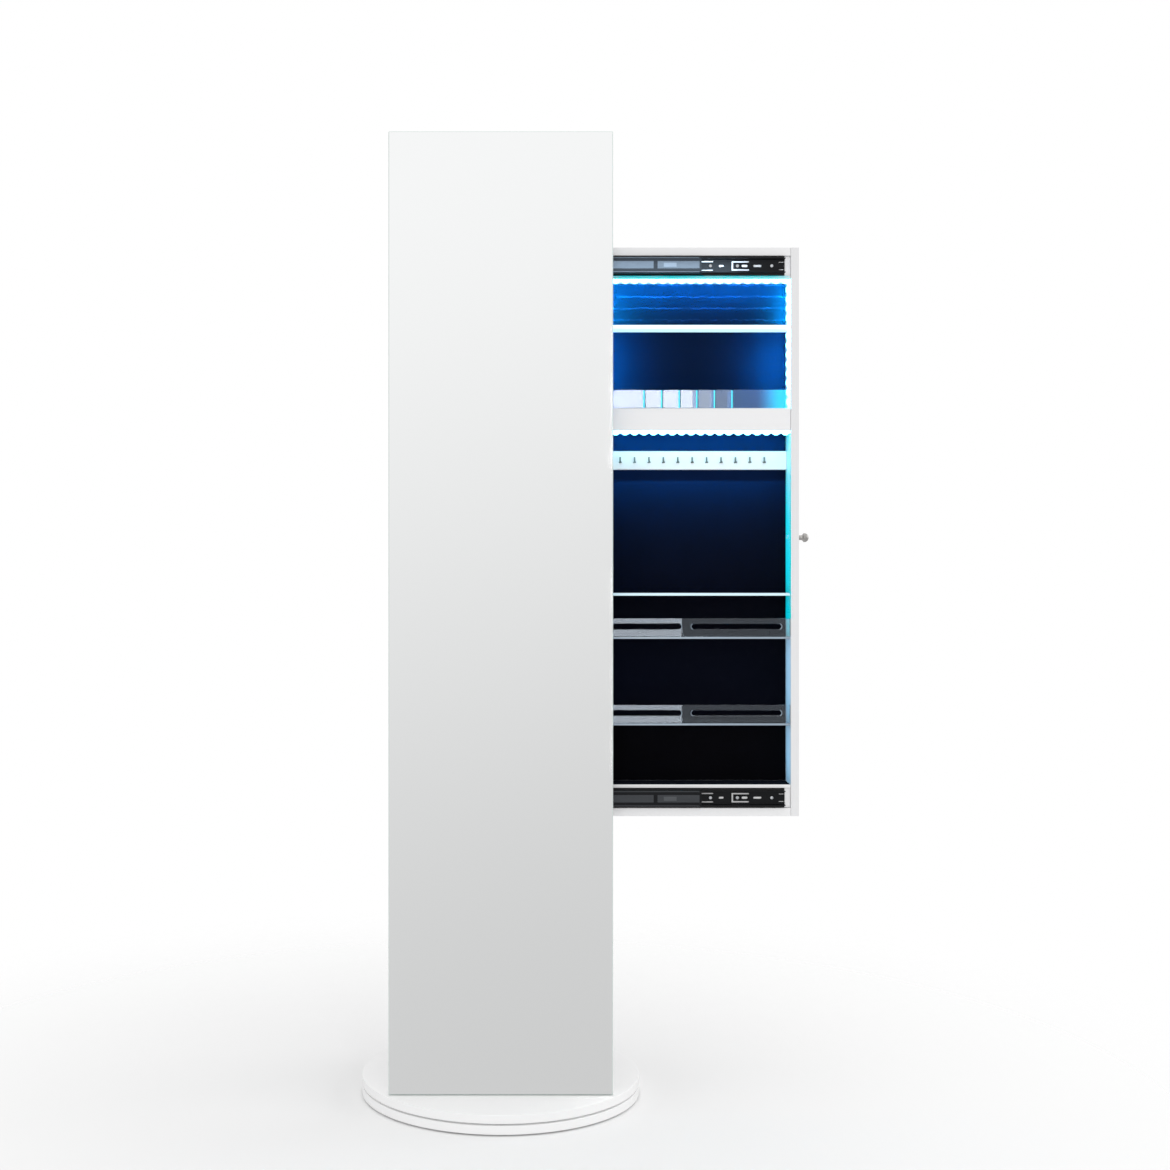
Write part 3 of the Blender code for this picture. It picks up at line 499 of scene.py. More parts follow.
def dress(obj, material, *nodes, body=None, slot=None, angle=35):
    """Give a piece its finish and hang it on a body; nodes are the solids that it stands for."""
    obj.data.materials.clear()
    obj.data.materials.append(bpy.data.materials[material])
    only(obj)
    bpy.ops.object.shade_smooth_by_angle(angle=math.radians(angle))
    flat = obj.modifiers.new("flat faces stay flat", "WEIGHTED_NORMAL")
    flat.keep_sharp = True
    apply_modifiers(obj)
    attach(obj, body or BODY[nodes[0]])
    if nodes:
        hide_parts(*nodes)
    return obj


def second_finish(obj, material, test):
    """Give the faces that pass a test a second material."""
    obj.data.materials.append(bpy.data.materials[material])
    for face in obj.data.polygons:
        if test(face):
            face.material_index = len(obj.data.materials) - 1


def looks_front(face):
    """Whether a face looks to the front, within 60 degrees."""
    return face.normal.y < -0.5


def screw(name, size, length):
    """A pan-head screw with a cross recess, pointing along +Z with the seat of its head at zero."""
    head, height, shank = size
    crown = height * 0.55
    profile = [(0, -height), (head * 0.55, -height)]
    profile += arc((head - crown, -height + crown), crown, -70, 0, 4)
    profile += [(head, 0), (shank, 0), (shank, length - shank), (0, length)]
    obj = turned(name, profile, 40)
    deep = height * 0.6
    for x, y in ((head * 0.62, head * 0.12), (head * 0.12, head * 0.62)):
        cut(obj, block("recess", (-x, -y, -height * 1.5), (x, y, deep - height)))
    return obj


def screw_row(names, size, length, direction, places):
    """Like screws at several places, the first one modelled and the others copied."""
    first = screw(names[0], size, length)
    screws = [first] + [copied(first, name, Matrix()) for name in names[1:]]
    for obj, place in zip(screws, places):
        put(obj, facing(direction, place))
        dress(obj, "zinc_plated_steel", body="drawer", slot="steel")


def area_lamp(name, place, direction, size, power, colour=(1, 1, 1)):
    """A soft rectangular lamp that shines in a direction and isn't seen itself."""
    clear_selection()
    bpy.ops.object.light_add(type="AREA", location=place)
    lamp = bpy.context.active_object
    lamp.name = name
    lamp.data.shape = "RECTANGLE"
    lamp.data.size, lamp.data.size_y = size
    lamp.data.energy = power
    lamp.data.color = colour
    lamp.rotation_euler = Vector(direction).to_track_quat("-Z", "Y").to_euler()
    lamp.visible_camera = False
    return lamp


def add(tree, kind, inputs=None, **settings):
    """Add a node, with its settings, and with a value or a link for each named input."""
    made = tree.nodes.new(kind)
    for key, value in settings.items():
        setattr(made, key, value)
    for key, value in (inputs or {}).items():
        if isinstance(value, bpy.types.NodeSocket):
            tree.links.new(value, made.inputs[key])
        else:
            made.inputs[key].default_value = value
    return made


def surface(name, colour, contrast, cloud_mm, grain_mm, roughness, relief_mm, stretch=(1, 1, 1), **sockets):
    """A finish of two shades in soft clouds, with a fine grain in its gloss and relief, in millimetres."""
    made = bpy.data.materials.new(name)
    made.use_nodes = True
    tree = made.node_tree
    shader = tree.nodes["Principled BSDF"]
    for key, value in sockets.items():
        shader.inputs[key.replace("_", " ")].default_value = value
    darker = tuple(channel * (1 - contrast) for channel in colour)
    place = add(tree, "ShaderNodeTexCoord")
    spread = add(tree, "ShaderNodeMapping", {"Vector": place.outputs["Object"], "Scale": stretch})
    cloud = add(tree, "ShaderNodeTexNoise", {
        "Vector": spread.outputs["Vector"], "Scale": 1000 / cloud_mm, "Detail": 3.0})
    grain = add(tree, "ShaderNodeTexNoise", {
        "Vector": spread.outputs["Vector"], "Scale": 1000 / grain_mm, "Detail": 2.0})
    shade = add(tree, "ShaderNodeMix", {
        0: cloud.outputs["Fac"], 6: (*colour, 1), 7: (*darker, 1)}, data_type="RGBA")
    gloss = add(tree, "ShaderNodeMapRange", {
        "Value": grain.outputs["Fac"], "From Min": 0.3, "From Max": 0.7,
        "To Min": roughness[0], "To Max": roughness[1]})
    relief = add(tree, "ShaderNodeBump", {
        "Height": grain.outputs["Fac"], "Strength": 0.6, "Distance": relief_mm / 1000})
    tree.links.new(shade.outputs[2], shader.inputs["Base Color"])
    tree.links.new(gloss.outputs["Result"], shader.inputs["Roughness"])
    tree.links.new(relief.outputs["Normal"], shader.inputs["Normal"])
    return made


class ARMOIRE_OT_finishes(bpy.types.Operator):
    """Make every finish, and give each carried-over solid its own"""

    bl_idname = "armoire.finishes"
    bl_label = "Finishes"

    def execute(self, context):
        colours = context.scene.armoire_colours
        self.boards_and_glass(colours)
        self.metals()
        self.plastics(colours)
        self.edge_lit()
        self.velvet(colours)
        self.webbing()
        by_slot = {
            "board": "melamine_faced_board", "white_paint": "lacquered_beech",
            "white_metal": "powder_coated_steel", "mirror": "silvered_mirror",
            "black_film": "mirror_back_paint", "black_board": "black_foil_board",
            "black_steel": "electrocoated_steel", "velvet": "flocked_velvet", "acrylic": "cast_acrylic",
            "led": "led_silicone", "nickel": "satin_nickel", "steel": "zinc_plated_steel",
            "dark_steel": "black_oxide_steel", "zinc": "die_cast_zinc", "aluminium": "mill_aluminium",
            "nylon": "moulded_nylon", "rubber": "moulded_rubber", "webbing": "polyester_webbing",
        }
        for node, obj in frame["nodes"].items():
            obj.data.materials.clear()
            obj.data.materials.append(bpy.data.materials[by_slot[SLOT[node]]])
        return {"FINISHED"}

    def boards_and_glass(self, colours):
        """Boards, turned wood and the mirror."""
        # Melamine paper pressed on particle board: a satin white with a faint pebble from the press plate.
        surface("melamine_faced_board", colours.board, 0.03, 90, 1.2, (0.46, 0.58), 0.012,
                Specular_IOR_Level=0.3)
        # Lacquer on the discs' fibreboard, a purer white than the boards that is painted light for the base's
        # top, with a trace of spray in its gloss.
        surface("lacquered_fibreboard_painted_light", linear("FAFAFA"), 0.02, 70, 1.6, (0.30, 0.42), 0.012)
        # Beech lacquered white: the long grain still shows in the gloss.
        surface("lacquered_beech", linear("F6F6F5"), 0.03, 9, 1.6, (0.28, 0.40), 0.02, stretch=(0.12, 1, 1))
        # Black board behind the slides, with a fine leather print: painted shade for the dark recess round
        # them.
        surface("black_foil_board", linear("0B0B0D"), 0.2, 12, 0.7, (0.45, 0.6), 0.02)
        # Silvered float glass: a clean reflection that is very slightly uneven.
        surface("silvered_mirror", colours.mirror, 0.01, 400, 60, (0.010, 0.022), 0.0, Metallic=1.0)
        # Ground edge of the glass: pale green and matte.
        surface("ground_glass_edge", linear("D3E2DC"), 0.08, 6, 0.5, (0.25, 0.45), 0.005)
        # Protective paint on the back of the mirror: a dead black.
        surface("mirror_back_paint", linear("040404"), 0.2, 25, 0.8, (0.55, 0.7), 0.01,
                Specular_IOR_Level=0.05)

    def metals(self):
        """Painted, plated and bare metal."""
        # Powder coat baked on steel tube: an orange peel of about a millimetre and a half.
        surface("powder_coated_steel", linear("F2F2F2"), 0.02, 40, 1.5, (0.26, 0.36), 0.02)
        # Electrocoat on pressed steel: thin black paint with a soft gloss.
        surface("electrocoated_steel", linear("101216"), 0.25, 18, 0.6, (0.3, 0.42), 0.006,
                stretch=(0.2, 1, 1), Specular_IOR_Level=0.14)
        # Zinc plate on steel: bright grey with a drawn grain along the part.
        surface("zinc_plated_steel", linear("C4C7CB"), 0.18, 8, 0.5, (0.24, 0.38), 0.004,
                stretch=(0.1, 1, 1), Metallic=1.0)
        # Phosphated steel of the ball cages: a dark grey with a drawn grain.
        surface("phosphated_steel", linear("44474B"), 0.3, 10, 0.5, (0.36, 0.5), 0.004,
                stretch=(0.1, 1, 1), Metallic=0.7)
        # The same steel in a lighter shade, on the catch.
        surface("phosphated_steel_lighter", linear("54575B"), 0.2, 6, 0.5, (0.34, 0.46), 0.004,
                stretch=(0.1, 1, 1), Metallic=0.6)
        # Nickel wire of the hooks, a dull grey-green.
        surface("drawn_nickel_wire", linear("7A8783"), 0.25, 4, 0.4, (0.34, 0.46), 0.003, Metallic=0.35)
        # Nickel brushed round the knob: a soft grey sheen with fine scratches.
        surface("satin_nickel", linear("B4B2AF"), 0.15, 5, 0.35, (0.22, 0.36), 0.006, Metallic=1.0)
        # Black oxide on steel: a dull blue-black.
        surface("black_oxide_steel", linear("2A2B2D"), 0.3, 3, 0.4, (0.38, 0.5), 0.006, Metallic=1.0)
        # Zinc die casting, dull and slightly grainy.
        surface("die_cast_zinc", linear("54565A"), 0.25, 3, 0.4, (0.42, 0.56), 0.01, Metallic=1.0)
        # Rolled aluminium of the bearing rings: pale, with a soft gloss.
        surface("mill_aluminium", linear("C9CACC"), 0.1, 10, 0.5, (0.3, 0.42), 0.005, Metallic=1.0)

    def plastics(self, colours):
        """Moulded plastic, rubber, acrylic and silicone."""
        # Moulded nylon of the ball cage: a waxy off-white.
        surface("moulded_nylon", linear("E4E2DA"), 0.05, 10, 0.6, (0.42, 0.52), 0.008)
        # Moulded rubber of the foot pads: a matte black.
        surface("moulded_rubber", linear("151515"), 0.2, 8, 0.5, (0.7, 0.85), 0.02)
        # ABS of the battery box, with a spark-eroded texture.
        surface("moulded_abs", linear("141416"), 0.15, 8, 0.5, (0.42, 0.55), 0.02)
        # Cast acrylic sheet: clear, polished, with a trace of blue in its thickness.
        surface("cast_acrylic", linear("EEF6FA"), 0.03, 60, 8, (0.004, 0.012), 0.0, Transmission_Weight=1.0,
                IOR=1.49, Specular_IOR_Level=0.4, Specular_Tint=(*linear("E6EEFA"), 1))
        # Sawn and flame-polished edge of acrylic away from the light, in an opaque pale blue-grey that is a
        # painted highlight.
        surface("acrylic_edge_painted_highlight", linear("9FB0C0"), 0.15, 12, 2, (0.08, 0.2), 0.003)
        # Painted shade beside each divider of the ring tray: a dull, darker blue strip.
        surface("acrylic_painted_shade", linear("3C7882"), 0.1, 12, 2, (0.3, 0.45), 0.003)
        # Front edge of the ring tray's dividers: cyan in colour and emission, a painted glow for light from
        # the side.
        surface("acrylic_painted_glow_edge", linear("58CFE0"), 0.1, 12, 2, (0.15, 0.3), 0.0,
                Emission_Color=(*linear("19E6FF"), 1), Emission_Strength=0.55)
        # Polished edge of acrylic next to an LED: it collects light and gives it off.
        surface("acrylic_lit_edge", linear("DDF4FB"), 0.05, 20, 2, (0.15, 0.3), 0.0,
                Emission_Color=(*linear("A9E6FF"), 1), Emission_Strength=0.13)
        # Opal shelf under the upper tape: white, and lit through.
        surface("opal_shelf", linear("EEF9FB"), 0.02, 60, 1.5, (0.3, 0.4), 0.005,
                Emission_Color=(*linear("C9F8FF"), 1), Emission_Strength=0.8)
        # Silicone over the LEDs: it glows evenly, with a little texture in its skin.
        surface("led_silicone", linear("E8FBFF"), 0.05, 6, 1.0, (0.3, 0.45), 0.01,
                Emission_Color=(*colours.light, 1), Emission_Strength=7.0)

    def edge_lit(self):
        """Acrylic whose right end touches an LED tape: the light that enters there scatters in the sheet."""
        made = surface("edge_lit_acrylic", linear("EEF6FA"), 0.03, 60, 8, (0.004, 0.012), 0.0,
                       Transmission_Weight=1.0, IOR=1.49)
        tree = made.node_tree
        shader = tree.nodes["Principled BSDF"]
        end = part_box("ring_divider_comb")[1].x
        place = add(tree, "ShaderNodeTexCoord")
        along = add(tree, "ShaderNodeSeparateXYZ", {"Vector": place.outputs["Object"]})
        # Within 50 mm of the end the light falls to a fifth and turns from cyan to blue.
        near = add(tree, "ShaderNodeMapRange", {
            "Value": along.outputs["X"], "From Min": end - 0.050, "From Max": end - 0.012},
            interpolation_type="SMOOTHSTEP")
        tint = add(tree, "ShaderNodeMix", {
            0: near.outputs["Result"], 6: (*linear("4C96E8"), 1), 7: (*linear("00CCF0"), 1)},
            data_type="RGBA")
        power = add(tree, "ShaderNodeMath", {0: near.outputs["Result"], 1: 0.46, 2: 0.12},
                    operation="MULTIPLY_ADD")
        tree.links.new(tint.outputs[2], shader.inputs["Emission Color"])
        tree.links.new(power.outputs["Value"], shader.inputs["Emission Strength"])

    def velvet(self, colours):
        """Flocked velvet: a short pile that sheens at the edges, with a painted sheen along creases in the
        top compartment.
        """
        made = surface("flocked_velvet", colours.velvet, 0.4, 35, 0.9, (0.85, 0.95), 0.25,
                       Specular_IOR_Level=0.04, Sheen_Weight=0.04, Sheen_Roughness=0.4,
                       Sheen_Tint=(*linear("6C86B8"), 1))
        tree = made.node_tree
        shader = tree.nodes["Principled BSDF"]
        shade = shader.inputs["Base Color"].links[0].from_socket
        place = add(tree, "ShaderNodeTexCoord")
        # Painted sheen lines along creases lie 16.5 mm apart, the first 15 mm below the tape, and waver by a
        # few millimetres.
        pitch = 0.0165
        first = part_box("led_strip_top")[0].z - 0.015
        creases = add(tree, "ShaderNodeTexWave", {
            "Vector": place.outputs["Object"], "Scale": WAVE_LENGTH / pitch, "Distortion": 1.1, "Detail": 3.0,
            "Detail Scale": 9.0, "Phase Offset": math.pi - math.tau * first / pitch}, bands_direction="Z")
        thin = add(tree, "ShaderNodeMapRange", {
            "Value": creases.outputs["Fac"], "From Min": 0.96, "From Max": 1.0})
        # Noise with cells of 16 mm breaks each crease into strokes.
        noise = add(tree, "ShaderNodeTexNoise", {
            "Vector": place.outputs["Object"], "Scale": 1000 / 16, "Detail": 4.0})
        broken = add(tree, "ShaderNodeMapRange", {
            "Value": noise.outputs["Fac"], "From Min": 0.40, "From Max": 0.60, "To Min": 0.1, "To Max": 1.0})
        height = add(tree, "ShaderNodeSeparateXYZ", {"Vector": place.outputs["Object"]})
        upper = add(tree, "ShaderNodeMath", {
            0: height.outputs["Z"], 1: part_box("upper_shelf")[1].z}, operation="GREATER_THAN")
        lines = add(tree, "ShaderNodeMath", {
            0: thin.outputs["Result"], 1: broken.outputs["Result"]}, operation="MULTIPLY")
        crease_sheen = add(tree, "ShaderNodeMath", {
            0: lines.outputs["Value"], 1: upper.outputs["Value"]}, operation="MULTIPLY")
        # The creases' painted sheen is five times as bright as the pile.
        bright = tuple(channel * 5 for channel in colours.velvet)
        pile_and_painted_sheen = add(tree, "ShaderNodeMix", {
            0: crease_sheen.outputs["Value"], 6: shade, 7: (*bright, 1)}, data_type="RGBA")
        tree.links.new(pile_and_painted_sheen.outputs[2], shader.inputs["Base Color"])

    def webbing(self):
        """Polyester webbing in plain weave, on the strap's own UV map in metres."""
        made = bpy.data.materials.new("polyester_webbing")
        made.use_nodes = True
        tree = made.node_tree
        shader = tree.nodes["Principled BSDF"]
        shader.inputs["Roughness"].default_value = 0.72
        shader.inputs["Sheen Weight"].default_value = 0.2
        place = add(tree, "ShaderNodeUVMap", uv_map="weave")
        # Yarns lie 0.9 mm apart each way.
        waves = []
        for direction in ("X", "Y"):
            waves.append(add(tree, "ShaderNodeTexWave", {
                "Vector": place.outputs["UV"], "Scale": WAVE_LENGTH / 0.0009}, bands_direction=direction))
        yarn = add(tree, "ShaderNodeMath", {
            0: waves[0].outputs["Fac"], 1: waves[1].outputs["Fac"]}, operation="MULTIPLY")
        shade = add(tree, "ShaderNodeMix", {
            0: yarn.outputs["Value"], 6: (*linear("DADAD8"), 1), 7: (*linear("F5F5F4"), 1)}, data_type="RGBA")
        relief = add(tree, "ShaderNodeBump", {
            "Height": yarn.outputs["Value"], "Strength": 0.7, "Distance": 0.0003})
        tree.links.new(shade.outputs[2], shader.inputs["Base Color"])
        tree.links.new(relief.outputs["Normal"], shader.inputs["Normal"])


class ARMOIRE_OT_stage(bpy.types.Operator):
    """Set up the floor, the light and the camera"""

    bl_idname = "armoire.stage"
    bl_label = "Stage"

    def execute(self, context):
        scene = context.scene
        scene.view_settings.view_transform = "Standard"
        self.camera(scene)
        self.world(scene)
        self.floor()
        for name, place, target, size, power in SOFTBOXES:
            area_lamp(name, place, Vector(target) - Vector(place), size, power)
        return {"FINISHED"}

    def camera(self, scene):
        """A level camera that frames the whole armoire, a little wider than the photograph."""
        clear_selection()
        bpy.ops.object.camera_add(location=(0, -CAMERA_DISTANCE, CAMERA_HEIGHT), rotation=(math.pi / 2, 0, 0))
        camera = bpy.context.active_object
        camera.name = "photograph_camera"
        camera.data.sensor_width = FILM_WIDTH
        camera.data.lens = FILM_WIDTH * FOCAL_PIXELS * LENS_SHARE / FRAME_PIXELS
        camera.data.shift_x, camera.data.shift_y = LENS_SHIFT
        scene.camera = camera

    def world(self, scene):
        """A pale room, lightest in front, that is white to the camera and a soft grey ramp in reflections."""
        world = bpy.data.worlds.new("studio")
        scene.world = world
        world.use_nodes = True
        tree = world.node_tree
        tree.nodes.clear()
        path = add(tree, "ShaderNodeLightPath")
        place = add(tree, "ShaderNodeTexCoord")
        # The ramp that the mirror shows runs from the upper left down to the right.
        slope = add(tree, "ShaderNodeVectorMath", {
            0: place.outputs["Generated"], 1: (-0.28, 0.0, 0.96)}, operation="DOT_PRODUCT")
        grey = add(tree, "ShaderNodeMapRange", {
            "Value": slope.outputs["Value"], "From Min": -0.33, "From Max": 0.27,
            "To Min": 0.63, "To Max": 0.97}, interpolation_type="SMOOTHSTEP")
        # The room's own light is lightest in front and above.
        side = add(tree, "ShaderNodeVectorMath", {
            0: place.outputs["Generated"], 1: (0.0, -0.89, 0.45)}, operation="DOT_PRODUCT")
        even = add(tree, "ShaderNodeMapRange", {
            "Value": side.outputs["Value"], "From Min": -1.0, "From Max": 1.0,
            "To Min": 0.75, "To Max": 0.89})
        room = add(tree, "ShaderNodeBackground", {"Color": (1, 1, 1, 1), "Strength": even.outputs["Result"]})
        ramp = add(tree, "ShaderNodeBackground", {"Color": (1, 1, 1, 1), "Strength": grey.outputs["Result"]})
        white = add(tree, "ShaderNodeBackground", {"Color": (1, 1, 1, 1), "Strength": 1.0})
        seen = add(tree, "ShaderNodeMath", {
            0: path.outputs["Is Camera Ray"], 1: path.outputs["Is Transmission Ray"]}, operation="MAXIMUM")
        glossy = add(tree, "ShaderNodeMixShader", {
            0: path.outputs["Is Glossy Ray"], 1: room.outputs[0], 2: ramp.outputs[0]})
        mixed = add(tree, "ShaderNodeMixShader", {
            0: seen.outputs[0], 1: glossy.outputs[0], 2: white.outputs[0]})
        add(tree, "ShaderNodeOutputWorld", {"Surface": mixed.outputs[0]})

    def floor(self):
        """A pale round floor that fades into the white room and keeps the armoire's shadow."""
        clear_selection()
        bpy.ops.mesh.primitive_circle_add(vertices=96, radius=2.6, fill_type="NGON", location=(0, 0, 0))
        floor = named("studio_floor")
        made = bpy.data.materials.new("pale_floor")
        made.use_nodes = True
        tree = made.node_tree
        shader = tree.nodes["Principled BSDF"]
        shader.inputs["Base Color"].default_value = (*linear("F6F6F6"), 1)
        shader.inputs["Roughness"].default_value = 0.9
        shader.inputs["Specular IOR Level"].default_value = 0.0
        place = add(tree, "ShaderNodeTexCoord")
        reach = add(tree, "ShaderNodeVectorMath", {0: place.outputs["Object"]}, operation="LENGTH")
        fade = add(tree, "ShaderNodeMapRange", {
            "Value": reach.outputs["Value"], "From Min": 0.30, "From Max": 1.3, "To Min": 1.0, "To Max": 0.0},
            interpolation_type="SMOOTHSTEP")
        # The mirror shows no floor, as in the photograph.
        path = add(tree, "ShaderNodeLightPath")
        clear = add(tree, "ShaderNodeMath", {0: 1.0, 1: path.outputs["Is Glossy Ray"]}, operation="SUBTRACT")
        alpha = add(tree, "ShaderNodeMath", {
            0: fade.outputs["Result"], 1: clear.outputs[0]}, operation="MULTIPLY")
        tree.links.new(alpha.outputs[0], shader.inputs["Alpha"])
        floor.data.materials.append(made)


def strap_frames():
    """Points of the strap's smooth route, each with its twist."""
    frames = []
    last = len(STRAP_ROUTE) - 1
    for place in range(last):
        before, start, end, after = (
            Vector(STRAP_ROUTE[min(max(index, 0), last)]) for index in range(place - 1, place + 3))
        for step in range(STRAP_STEPS):
            t = step / STRAP_STEPS
            frames.append(0.5 * (2 * start + (end - before) * t
                                 + (2 * before - 5 * start + 4 * end - after) * t ** 2
                                 + (3 * start - before - 3 * end + after) * t ** 3))
    frames.append(Vector(STRAP_ROUTE[last]))
    return frames


def across_strap(twist_degrees):
    """Directions along the strap's width and through its thickness, at a twist."""
    twist = math.radians(twist_degrees)
    return Vector((math.cos(twist), math.sin(twist), 0)), Vector((-math.sin(twist), math.cos(twist), 0))


class ARMOIRE_OT_strap(bpy.types.Operator):
    """The anti-tip strap with its eyelets and screws"""

    bl_idname = "armoire.strap"
    bl_label = "Anti-tip strap"

    def execute(self, context):
        sizes = context.scene.armoire_sizes
        rim = sizes.strap_thickness / 2 + STRAP_GAP
        origin = Vector((0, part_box("rear_panel")[1].y + rim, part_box("anti_tip_strap")[1].z))
        frames = strap_frames()
        path = [origin + Vector((side, off, -drop)) for side, off, drop, _ in frames]
        strap = self.band("anti_tip_webbing", path, frames, sizes)
        end = screw("strap_wall_screw", WOOD_SCREW, STRAP_SCREW_LENGTH)
        top = screw("strap_plank_screw", WOOD_SCREW, STRAP_SCREW_LENGTH)
        head, height, _ = WOOD_SCREW
        middle = centre("strap_top_screw")
        put(top, facing((0, -1, 0), (middle.x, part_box("strap_top_screw")[1].y - height, middle.z)))
        tangent = (path[-1] - path[-2]).normalized()
        inwards = across_strap(frames[-1][3])[0].cross(-tangent).normalized()
        # The loose screw droops in its slack hole, far enough back for its head to clear the webbing.
        droop = math.radians(WALL_SCREW_DROOP)
        axis = inwards * math.cos(droop) + tangent * math.sin(droop)
        clear = rim + head * math.sin(droop)
        put(end, facing(axis, path[-1] - tangent * WALL_SCREW_FROM_END - axis * clear / math.cos(droop)))
        dress(strap, "polyester_webbing", "anti_tip_strap", angle=60)
        dress(top, "zinc_plated_steel", "strap_top_screw")
        dress(end, "zinc_plated_steel", "strap_end_screw")
        eyelets = [self.eyelet(name, drop, radius, path, frames, rim) for name, drop, radius in EYELETS]
        return {"FINISHED"}

    def band(self, name, path, frames, sizes):
        """Flat webbing with rounded selvages along the route, with its weave's UV map in metres."""
        half = sizes.strap_width / 2
        thin = sizes.strap_thickness / 2
        across = [(half - thin + thin * math.cos(turn), thin * math.sin(turn))
                  for turn in (math.radians(angle) for angle in range(-90, 91, 30))]
        across += [(-x, -y) for x, y in across]
        mesh = bpy.data.meshes.new(name)
        bm = bmesh.new()
        weave = bm.loops.layers.uv.new("weave")
        rings = []
        for spot, turn in zip(path, frames):
            wide, thick = across_strap(turn[3])
            rings.append([bm.verts.new(spot + wide * x + thick * y) for x, y in across])
        travel = 0.0
        for number in range(len(rings) - 1):
            step = (path[number + 1] - path[number]).length
            for side in range(len(across)):
                after = (side + 1) % len(across)
                face = bm.faces.new((rings[number][side], rings[number][after],
                                     rings[number + 1][after], rings[number + 1][side]))
                spots = ((across[side][0], travel), (across[after][0], travel),
                         (across[after][0], travel + step), (across[side][0], travel + step))
                for loop, spot in zip(face.loops, spots):
                    loop[weave].uv = spot
            travel += step
        bm.faces.new(rings[0])
        bm.faces.new(rings[-1])
        bmesh.ops.recalc_face_normals(bm, faces=bm.faces[:])
        bm.to_mesh(mesh)
        bm.free()
        obj = bpy.data.objects.new(name, mesh)
        bpy.context.collection.objects.link(obj)
        return obj

    def eyelet(self, name, drop, radius, path, frames, rim):
        """A rolled metal eyelet through the webbing, at a drop below its upper end."""
        number = min(range(len(frames)), key=lambda place: abs(frames[place][2] - drop))
        middle = radius + EYELET_ROLL
        profile = arc((middle, rim), EYELET_ROLL, 180, 0) + arc((middle, -rim), EYELET_ROLL, 0, -180)
        obj = turned(name, profile + profile[:1], 32)
        put(obj, facing(across_strap(frames[number][3])[1], path[number]))
        return dress(obj, "black_oxide_steel", body="turntable", slot="dark_steel")


class ARMOIRE_OT_base(bpy.types.Operator):
    """The two swivel discs and the pivot bolt"""

    bl_idname = "armoire.base"
    bl_label = "Swivel base"

    def execute(self, context):
        sizes = context.scene.armoire_sizes
        low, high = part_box("base_lower_disc")
        profile = [(0, low.z)] + self.rim(low, high, sizes.board_edge) + [(0, high.z)]
        self.disc("swivel_disc_lower", "base_lower_disc", profile, sizes.turned_segments)
        low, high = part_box("base_upper_disc")
        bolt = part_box("pivot_bolt")[1]
        hole = bolt.x + BOLT_HOLE_GAP
        seat = bolt.z - BOLT_SEAT_DEPTH
        profile = [(BOLT_BORE, low.z)] + self.rim(low, high, sizes.board_edge)
        profile += [(hole + BOLT_HOLE_EASE, high.z), (hole, high.z - BOLT_HOLE_EASE), (hole, seat)]
        profile += [(BOLT_BORE, seat), (BOLT_BORE, low.z)]
        self.disc("swivel_disc_upper", "base_upper_disc", profile, sizes.turned_segments)
        self.bolt()
        return {"FINISHED"}

    def rim(self, low, high, ease):
        """Profile of a disc's outer edge, with both corners rounded."""
        return (arc((high.x - ease, low.z + ease), ease, -90, 0, 4)
                + arc((high.x - ease, high.z - ease), ease, 0, 90, 4))

    def disc(self, name, node, profile, segments):
        """A lacquered disc with painted light in its white, which the mirror doesn't show."""
        dress(turned(name, profile, segments), "lacquered_fibreboard_painted_light", node).visible_glossy = False

    def bolt(self):
        """A socket bolt on the turning axis."""
        low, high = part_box("pivot_bolt")
        radius = high.x
        top = high.z
        profile = [(0, top), (radius * 0.6, top)]
        profile += arc((radius - BOLT_CROWN, top - BOLT_CROWN), BOLT_CROWN, 75, 0)
        profile += [(radius, top - BOLT_HEAD), (BOLT_SHANK, top - BOLT_HEAD), (BOLT_SHANK, low.z + BOLT_TIP)]
        profile += [(BOLT_SHANK - BOLT_TIP, low.z), (0, low.z)]
        bolt = turned("pivot_socket_bolt", profile, 48)
        clear_selection()
        bpy.ops.mesh.primitive_cylinder_add(
            vertices=6, radius=BOLT_SOCKET[0], depth=BOLT_SOCKET[1], location=(0, 0, top))
        cut(bolt, put(named("hexagon_socket")))
        dress(bolt, "black_oxide_steel", "pivot_bolt")


